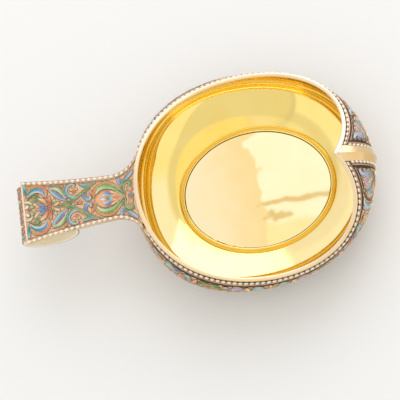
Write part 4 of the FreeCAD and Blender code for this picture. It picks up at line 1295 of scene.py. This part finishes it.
# %% Drawing of the neck and root of the handle
neck_cells = [
    ([(89.4, 0.4), (84.9, 2.8), (80.6, 5.6), (74.5, 9.1)], [0.62, 0.52, 0.46, 0.28],
     ["green", "leaf", "green"]),
    ([(91.2, 9.8), (91.1, 9.8)], [0.55], ["orange"]),
    ([(82.4, 4.5), (85.2, 3.2), (87.9, 4.0), (89.5, 6.3), (88.9, 8.8), (86.6, 10.1), (84.7, 9.4)],
     [0.2, 0.5, 0.62, 0.62, 0.5, 0.25], ["teal", "pale_teal", "teal", "sky", "pale_green"],
     ("pale_blue", "teal")),
    ([(86.9, 7.3), (85.9, 7.3)], [0.3, 0.5, 0.3], ["cream", "amber"]),
    ([(84.9, 7.3), (83.9, 7.2)], [0.3, 0.5, 0.3], ["orange", "cream"]),
    ([(85.4, 8.5), (85.4, 7.9)], [0.45], ["peach"]),
    ([(85.5, 6.6), (85.4, 6.0)], [0.45], ["coral"]),
    ([(82.0, 9.2), (79.3, 8.1), (76.6, 8.4), (74.6, 9.4)], [0.25, 0.72, 0.5, 0.15],
     ["pale_teal", "teal", "deep_teal"], ("teal", "pale_teal")),
    ([(79.8, 5.2), (80.7, 3.2), (79.3, 1.2), (77.6, 1.5), (77.9, 2.7)], [0.3, 0.6, 0.62, 0.5, 0.3],
     ["deep_blue", "blue", "sky", "pale_blue"]),
    ([(77.4, 5.4), (76.2, 3.0)], [0.2, 0.42, 0.2], ["peach", "coral"]),
    ([(76.0, 1.6), (75.0, 5.4), (72.0, 7.8), (68.2, 8.2), (65.0, 6.3), (62.4, 3.6)],
     [0.15, 0.34, 0.36, 0.36, 0.32, 0.15], ["orange", "amber", "orange", "amber"], (None, None), 9),
    ([(74.9, 3.3), (72.9, 5.5), (69.6, 6.5), (66.2, 5.6), (63.4, 3.3), (60.8, 0.6)],
     [0.25, 0.8, 1.0, 0.9, 0.55, 0.2], ["cream", "pale_green", "leaf", "leaf", "green", "deep_green"],
     ("pale_green", "green"), 7),
    ([(60.4, 1.0), (61.1, 3.4), (60.6, 6.0), (58.7, 7.2), (57.0, 6.2), (57.8, 5.0)],
     [0.25, 0.5, 0.6, 0.6, 0.5], ["deep_green", "green", "green", "leaf"], ("pale_green", None)),
    ([(58.2, 3.8), (57.2, 2.6)], [0.5, 1.0, 0.5], ["pink", "peach"]),
    ([(63.2, 9.2), (62.3, 7.4), (61.4, 5.6)], [0.3, 0.95, 0.25], ["sky", "blue", "deep_blue"],
     ("pale_blue", None)),
    ([(60.0, 8.0), (58.0, 9.5), (55.6, 11.6)], [0.3, 0.75, 0.5], ["blue", "sky", "pale_blue"],
     ("pale_blue", "blue")),
]
neck_middle = [
    ([(93.4, 0.2), (89.4, 0.2)], [0.3, 0.62, 0.78], ["green", "leaf"]),
    ([(85.6, 0.0), (84.9, 0.0)], [0.4], ["lilac"]),
    ([(83.2, 0.0), (82.7, 0.0)], [0.55], ["orange"]),
    ([(57.7, 0.0), (57.1, 0.0)], [0.8], ["grey_blue"]),
]
bud_leaves = neck_cells[10:14]
bud_body = ([(75.4, 0.0), (71.0, 0.0), (66.0, 0.0), (60.9, 0.0)],
            [0.1, 2.9, 4.1, 4.2, 3.5, 2.2, 0.9, 0.1], ["peach", "peach", "orange", "coral", "orange"])
bud_cells = [
    ([(71.4, 1.5), (69.4, 2.6), (67.4, 1.7)], [0.35, 1.0, 0.35], ["white", "blue", "deep_blue"],
     ("pale_blue", None)),
    ([(67.2, 3.3), (64.8, 2.0), (62.6, 0.7)], [0.3, 0.42, 0.15], ["cream", "peach", "amber"]),
    ([(66.6, 1.1), (64.9, 0.9)], [0.2, 0.38, 0.15], ["peach", "cream"]),
]
bud_middle = [
    ([(72.4, 0.0), (70.4, 0.0)], [0.4, 0.9, 0.4], ["white", "pale_blue"]),
    ([(69.2, 0.0), (66.9, 0.0)], [0.6, 1.1, 0.6], ["teal", "pale_teal"]),
    ([(64.4, 0.0), (62.8, 0.0)], [0.2, 0.65, 0.3], ["pale_teal", "teal"]),
]


def drawn(pile, cells, place=lambda point: point, both=True, lift=0.0, scale=1.0):
    """Draws cells of a pattern; those off the axis are drawn on both sides of it."""
    for drawing in cells:
        spine, widths, colours = drawing[:3]
        sides = drawing[3] if len(drawing) > 3 else (None, None)
        scallops = drawing[4] if len(drawing) > 4 else 0
        samples = max(3, min(20, 4 * len(spine)), 7 * abs(scallops))
        if len(spine) == 2 and math.dist(*spine) < 0.2:
            samples = 2
        for side in ((1, -1) if both else (1,)):
            points = [place((x, y * side)) for x, y in spine]
            flipped = sides if side > 0 else sides[::-1]
            cell(pile, points, [width * scale for width in widths], colours, flipped,
                 scallops * side, samples, lift)


askew, askew_about, cells_low = 0.02, 78, 36.57


def handle_layout(along, across, height):
    """The pattern lies a touch askew on the plate, as it was laid by hand."""
    return stack(-along, across + askew * (along - askew_about), cells_low + height)


handle_pile = Pile(handle_layout)
drawn(handle_pile, [bud_body], both=False)
drawn(handle_pile, head_cells + neck_cells, scale=1.12)
drawn(handle_pile, head_middle + neck_middle, both=False)
drawn(handle_pile, bud_cells, lift=0.10)
drawn(handle_pile, bud_middle, both=False, lift=0.10)
handle_pile.piece("handle_cells", cell_finishes, "scroll_enamel")

# %% [markdown]
# ## The band round the bowl
# The long field on each side is drawn out from its middle, and both halves are the same. A
# crest of scrolls and leaves runs along its top under a dark scalloped line. Below the crest
# the handle's bud comes back again and again, with a pair of leaves between each two.

# %% Drawing of the crest
crest_cells = [
    ([(3.2, 4.2), (4.6, 2.2), (7.0, 1.9), (9.2, 3.8)], [0.3, 1.0, 1.2, 0.3], ["teal", "pale_teal", "teal"],
     ("white", None), 3),
    ([(5.0, 5.0), (7.4, 4.4), (9.4, 6.2)], [0.3, 1.0, 0.4], ["coral", "red", "peach"]),
    ([(10.6, 4.2), (11.4, 2.0), (13.0, 3.2)], [0.3, 0.9, 0.3], ["cream", "peach"]),
    ([(13.8, 3.9), (14.8, 2.0), (17.2, 1.8), (18.8, 3.8)], [0.3, 1.1, 1.2, 0.3],
     ["grey_blue", "lilac", "lilac", "pale_blue"], ("pale_blue", None)),
    ([(14.4, 5.6), (17.0, 4.8), (19.4, 5.8)], [0.3, 0.9, 0.3], ["peach", "coral", "cream"]),
    ([(20.6, 2.0), (22.6, 1.8)], [0.4, 0.8, 0.4], ["grey_blue", "pale_blue"]),
    ([(20.8, 4.2), (23.2, 4.6)], [0.3, 0.8, 0.3], ["coral", "peach"]),
    ([(24.2, 4.4), (26.2, 2.4), (29.6, 1.9)], [0.2, 1.15, 0.3], ["deep_green", "green", "leaf"],
     ("pale_green", None), 3),
    ([(35.6, 4.4), (33.8, 2.4), (30.6, 1.9)], [0.2, 1.15, 0.3], ["deep_green", "green", "leaf"],
     (None, "pale_green"), -3),
    ([(27.4, 5.0), (30.1, 3.9), (32.8, 5.0)], [0.3, 0.6, 0.3], ["peach", "red", "peach"]),
    ([(36.4, 1.9), (37.6, 3.6), (38.8, 6.0)], [0.3, 1.0, 0.4], ["cream", "coral", "peach"]),
    ([(39.4, 3.9), (40.8, 1.9), (43.2, 2.2)], [0.3, 1.0, 0.4], ["teal", "pale_teal", "blue"],
     ("pale_blue", None)),
    ([(42.2, 4.6), (44.6, 3.6), (46.2, 5.2)], [0.3, 0.85, 0.3], ["coral", "orange", "peach"]),
    ([(45.2, 1.8), (47.6, 2.0), (48.6, 3.6)], [0.35, 0.9, 0.3], ["blue", "deep_blue", "sky"]),
    ([(49.4, 4.6), (50.2, 2.2), (52.6, 1.9), (53.6, 4.2)], [0.3, 1.1, 1.2, 0.3], ["sky", "pale_teal", "sky"],
     ("white", "teal")),
    ([(54.6, 3.0), (56.8, 4.0), (58.8, 3.0)], [0.4, 1.5, 0.4], ["coral", "peach", "coral"],
     ("cream", "cream")),
    ([(55.4, 6.8), (57.4, 6.2), (59.4, 7.2)], [0.3, 0.8, 0.3], ["leaf", "pale_green"]),
    ([(59.6, 4.4), (60.6, 2.2), (62.6, 2.0)], [0.3, 1.0, 0.4], ["pale_teal", "sky", "pale_blue"]),
    ([(63.6, 4.2), (64.8, 2.8), (65.4, 5.2)], [0.3, 0.8, 0.3], ["coral", "peach"]),
    ([(63.0, 7.4), (64.4, 6.2), (65.4, 8.2)], [0.3, 0.8, 0.3], ["sky", "blue"]),
]
crest_petals = [([(-57.4, 3.0), (-56.2, 3.6)], [0.25, 0.4, 0.25], ["red", "coral"]),
                ([(-56.9, 5.0), (-55.8, 4.6)], [0.25, 0.35, 0.25], ["orange", "red"]),
                ([(57.4, 3.0), (56.2, 3.6)], [0.25, 0.4, 0.25], ["red", "coral"])]
crest_tones = [["leaf", "green"], ["cream", "peach"], ["pale_teal", "teal"], ["coral", "peach"],
               ["sky", "blue"], ["pale_green", "leaf"], ["lilac", "pink"]]
crest_low = [([(s - 1.6, 8.2 + 0.6 * (i % 2)), (s, 7.1), (s + 1.6, 8.0)], [0.3, 0.8, 0.3], crest_tones[i % 7])
             for i, s in enumerate(np.arange(2.2, 62, 4.3).tolist())]
leaf_pair = [([(1.0, 10.0), (3.4, 12.4), (3.9, 16.0), (2.2, 18.8)], [0.25, 0.9, 0.9, 0.25],
              ["deep_green", "green", "leaf", "pale_green"], ("pale_green", None), 5),
             ([(1.0, 20.4), (2.8, 22.0), (5.0, 22.2), (5.6, 24.2), (4.0, 25.4), (3.0, 24.4)],
              [0.2, 0.5, 0.6, 0.55, 0.4], ["deep_blue", "blue", "teal", "pale_teal"]),
             ([(4.4, 20.0), (5.6, 18.0), (5.8, 15.6)], [0.25, 0.6, 0.25], ["sky", "lilac", "pink"]),
             ([(1.2, 28.4), (3.8, 28.0)], [0.4, 0.7, 0.3], ["coral", "peach"])]
leaf_middle = [([(0.0, 12.8), (0.0, 16.2)], [0.3, 0.7, 0.3], ["peach", "coral"]),
               ([(0.0, 23.4), (0.0, 25.6)], [0.3, 0.8, 0.4], ["cream", "amber"])]


def from_line(edge):
    """A drawing's places measured along the band, from a line across it."""
    return lambda point: (edge + point[0], point[1] - 0.5)


bud_start, bud_wider, bud_shorter = 75.8, 1.1, 0.86


def at_bud(middle, top):
    """Turns a place of the handle's bud into a place of the band."""
    return lambda point: (middle + point[1] * bud_wider, top + (bud_start - point[0]) * bud_shorter)


def bud_group(pile, middle, top):
    """The handle's bud and the leaves beside it, drawn in another place."""
    place = at_bud(middle, top)
    drawn(pile, [bud_body], place, both=False)
    drawn(pile, bud_leaves, place)
    drawn(pile, bud_cells, place, lift=0.10)
    drawn(pile, bud_middle, place, both=False, lift=0.10)


def both_ways(cells):
    """A drawing and its mirror image about its start."""
    return cells + [([(-x, y) for x, y in spine], widths, colours, *(part[::-1] if n == 0 else -part
                                                                     for n, part in enumerate(more)))
                    for spine, widths, colours, *more in cells]


# %% Band
band_high = 30.0
band_layout, band_long = measured(field_patch, across=0.1)
band_middle = 60.9


def band_cells(pile):
    """The whole band of one side: the dark scalloped line, the crest, buds and leaves."""
    crest = [drawing for drawing in both_ways(crest_cells + crest_low)
             if all(0.9 < band_middle + x < band_long - 0.9 for x, y in drawing[0])]
    drawn(pile, crest, lambda point: (band_middle + point[0], point[1] + 0.1), both=False, scale=1.1)
    drawn(pile, crest_petals, from_line(band_middle), both=False, lift=0.12)
    buds_top = 10.6
    for middle in (-45, -15, 15, 45):
        bud_group(pile, band_middle + middle, buds_top)
    for edge in (-30, 0, 30, 60):
        drawn(pile, both_ways(leaf_pair) + leaf_middle, from_line(band_middle + edge), both=False)
    drawn(pile, leaf_pair, from_line(0.3), both=False)
    wave_length, wave_depth, wave_low = 4.6, 0.4, 0.70
    waves = [(float(s), wave_low - wave_depth * abs(math.sin(s * math.pi / wave_length)))
             for s in np.arange(0.2, band_long - 0.2, 0.5)]
    dark_line(pile, waves, [0.36], samples=len(waves) * 2)
    middle_petal = ([(0, 1.6), (0, 3.8)], [0.4, 0.8, 0.4], ["cream", "coral"])
    drawn(pile, [middle_petal], from_line(band_middle), both=False)


def on_patch(layout, high):
    """A flat pattern on a patch of the wall: across is a length of a band with a nominal height."""
    return lambda along, across, height: layout(along, across / high, height + cell_lift)


for side, mirror in both_sides:
    band_pile = Pile(on_side(on_patch(band_layout, band_high), mirror))
    band_cells(band_pile)
    band_pile.piece("band_cells_" + side, cell_finishes, "scroll_enamel")
print("band %.1f mm long" % band_long)

# %% [markdown]
# ## The panels beside the prow
# Each panel has a frame of dark lines, straight along the bead borders and arched on the other
# side, with a flower of blue, teal and pink petals inside. Places are the distance from the
# keel band's edge and the depth below the rim.

# %% Prow panels
panel_lines = [([(3.15, 4.5), (15.0, 4.5)], [0.22]), ([(3.15, 4.4), (3.15, 13.8)], [0.24]),
               ([(14.8, 4.4), (17.2, 6.4), (17.3, 9.6), (15.0, 13.0), (11.0, 15.6), (6.8, 16.0), (3.1, 13.9)],
                [0.36])]
panel_frame = [([(14.4, 5.8), (16.1, 7.2), (15.9, 9.5), (13.9, 12.2), (10.8, 14.4), (7.2, 14.8), (4.3, 13.4)],
                [0.2, 0.34, 0.2], ["cream", "pale_green", "sky", "pale_blue"])]
panel_base = [([(5.4, 8.9), (15.2, 8.6)], [1.2, 3.4, 3.8, 3.4, 1.2], ["peach", "cream", "peach"])]
panel_flower = [
    ([(4.3, 5.7), (6.0, 6.1), (7.3, 7.8)], [0.4, 1.05, 0.4], ["pale_blue", "sky", "grey_blue"],
     ("white", None)),
    ([(4.4, 8.0), (5.8, 9.0), (7.8, 9.6)], [0.5, 1.05, 0.4], ["blue", "sky", "lilac"]),
    ([(4.2, 10.6), (5.6, 11.0), (7.4, 10.9)], [0.3, 0.6, 0.3], ["grey_blue", "teal"]),
    ([(8.6, 6.0), (8.9, 7.6), (8.6, 9.2)], [0.4, 0.95, 0.4], ["pink", "lilac", "grey_blue"]),
    ([(10.8, 6.0), (11.0, 7.4), (10.4, 9.0)], [0.4, 0.85, 0.35], ["lilac", "pink", "lilac"]),
    ([(13.1, 6.1), (12.8, 7.8), (11.5, 9.6), (9.6, 10.8)], [0.4, 0.95, 0.9, 0.3],
     ["teal", "blue", "teal", "pale_teal"], ("pale_teal", "teal")),
    ([(14.8, 7.2), (14.5, 9.0), (13.4, 10.4)], [0.35, 0.75, 0.3], ["pale_teal", "teal"]),
    ([(12.9, 11.4), (10.9, 12.7), (9.3, 12.9)], [0.3, 0.75, 0.35], ["coral", "peach", "coral"]),
    ([(8.4, 11.5), (6.6, 12.5), (4.9, 11.9)], [0.3, 0.8, 0.35], ["pale_blue", "grey_blue", "sky"]),
]
panel_round = [
    ([(17.0, 4.5), (19.2, 5.0), (20.3, 7.4), (19.6, 9.9), (17.9, 11.6)], [0.3, 0.85, 1.0, 0.85, 0.3],
     ["pale_blue", "sky", "blue", "sky"], ("leaf", "white")),
    ([(21.2, 4.4), (21.3, 7.6)], [0.4, 0.75, 0.4], ["sky", "pale_teal"]),
    ([(20.9, 11.2), (19.2, 14.0), (16.6, 16.4)], [0.3, 0.95, 0.3], ["deep_green", "leaf", "pale_green"]),
    ([(16.8, 13.6), (14.4, 16.0), (11.6, 17.6)], [0.3, 0.7, 0.3], ["coral", "peach", "cream"]),
    ([(9.8, 17.6), (7.0, 18.0), (4.4, 16.6)], [0.3, 0.8, 0.3], ["teal", "sky", "pale_blue"]),
]


def panel_layout(along, across, height):
    """A place at a distance from the keel band's edge and a depth below the rim."""
    return on_wall(keel_turn(across, keel_half_width(across) + along), across, height + cell_lift)


for side, mirror in both_sides:
    panel_pile = Pile(on_side(panel_layout, mirror))
    for spine, widths in panel_lines:
        dark_line(panel_pile, spine, widths, samples=6 * len(spine))
    drawn(panel_pile, panel_frame + panel_round + panel_base, both=False)
    drawn(panel_pile, panel_flower, both=False, lift=0.12)
    bud_group(panel_pile, 11.6, 20.5)
    panel_pile.piece("panel_cells_" + side, cell_finishes, "scroll_enamel")

# %% [markdown]
# ## The field under the handle and the curl
# Both hide below the handle's plate. They repeat the bud, with leaves beside it on the wall and
# with plain petals along both edges of the curl.

# %% Aft field
aft_high, aft_leaves = 26.0, 14.6
aft_layout, aft_long = measured(aft_patch, across=0.1)
aft_pile = Pile(on_patch(aft_layout, aft_high))
bud_group(aft_pile, aft_long / 2, 4.0)
for edge in (aft_long / 2 - aft_leaves, aft_long / 2 + aft_leaves):
    drawn(aft_pile, both_ways(leaf_pair[:3]) + leaf_middle,
          lambda point: (edge + point[0], point[1] - 6.5), both=False)
aft_pile.piece("aft_cells", cell_finishes, "scroll_enamel")
print("aft field %.1f mm long" % aft_long)

# %% Curl
curl_cells = [
    ([(12.2, 1.4), (11.6, 3.4), (12.2, 5.6)], [0.3, 0.8, 0.3], ["pale_teal", "teal"]),
    ([(9.4, 1.4), (9.0, 3.6), (9.6, 5.8)], [0.3, 0.9, 0.3], ["coral", "red"]),
    ([(6.6, 1.4), (6.4, 3.6), (6.8, 5.8)], [0.3, 0.8, 0.3], ["cream", "peach"]),
    ([(4.0, 1.4), (3.8, 3.6), (4.0, 5.8)], [0.3, 0.8, 0.3], ["green", "teal"]),
    ([(1.4, 1.4), (1.3, 3.6), (1.4, 5.8)], [0.3, 0.8, 0.3], ["red", "coral"]),
    ([(11.8, 8.2), (10.9, 11.6), (11.8, 15.0)], [0.3, 0.9, 0.3], ["blue", "sky", "pale_blue"],
     ("pale_blue", None)),
    ([(11.8, 17.4), (10.8, 21.0), (11.6, 24.6)], [0.3, 0.9, 0.3], ["green", "leaf", "pale_green"]),
    ([(10.9, 27.4), (10.2, 31.0), (10.7, 34.6)], [0.3, 0.9, 0.3], ["teal", "pale_teal", "sky"]),
    ([(10.4, 37.4), (9.7, 41.0), (10.2, 44.6)], [0.3, 0.9, 0.3], ["coral", "peach", "cream"]),
]
curl_pile = Pile(lambda across, along, height: curl_layout(along, across, height + cell_lift))
drawn(curl_pile, both_ways(curl_cells), both=False)
bud_group(curl_pile, 0.0, 8.4)
bud_group(curl_pile, 0.0, 28.0)
curl_pile.piece("curl_cells", cell_finishes, "scroll_enamel")
print("curl %.1f mm long" % curl_length)

# %% [markdown]
# ## The table
# The ladle stands on matt white paper, which is a stage and no part of the object.

# %% Stage
bpy.ops.object.select_all(action="DESELECT")
bpy.ops.mesh.primitive_plane_add(size=3, location=(0, 0, 0))
table = bpy.context.object
table.name = "table"
table_finish = Finish("table_paper", Base_Color=(0.93, 0.935, 0.935, 1), Roughness=0.9)
table.data.materials.append(table_finish.material)
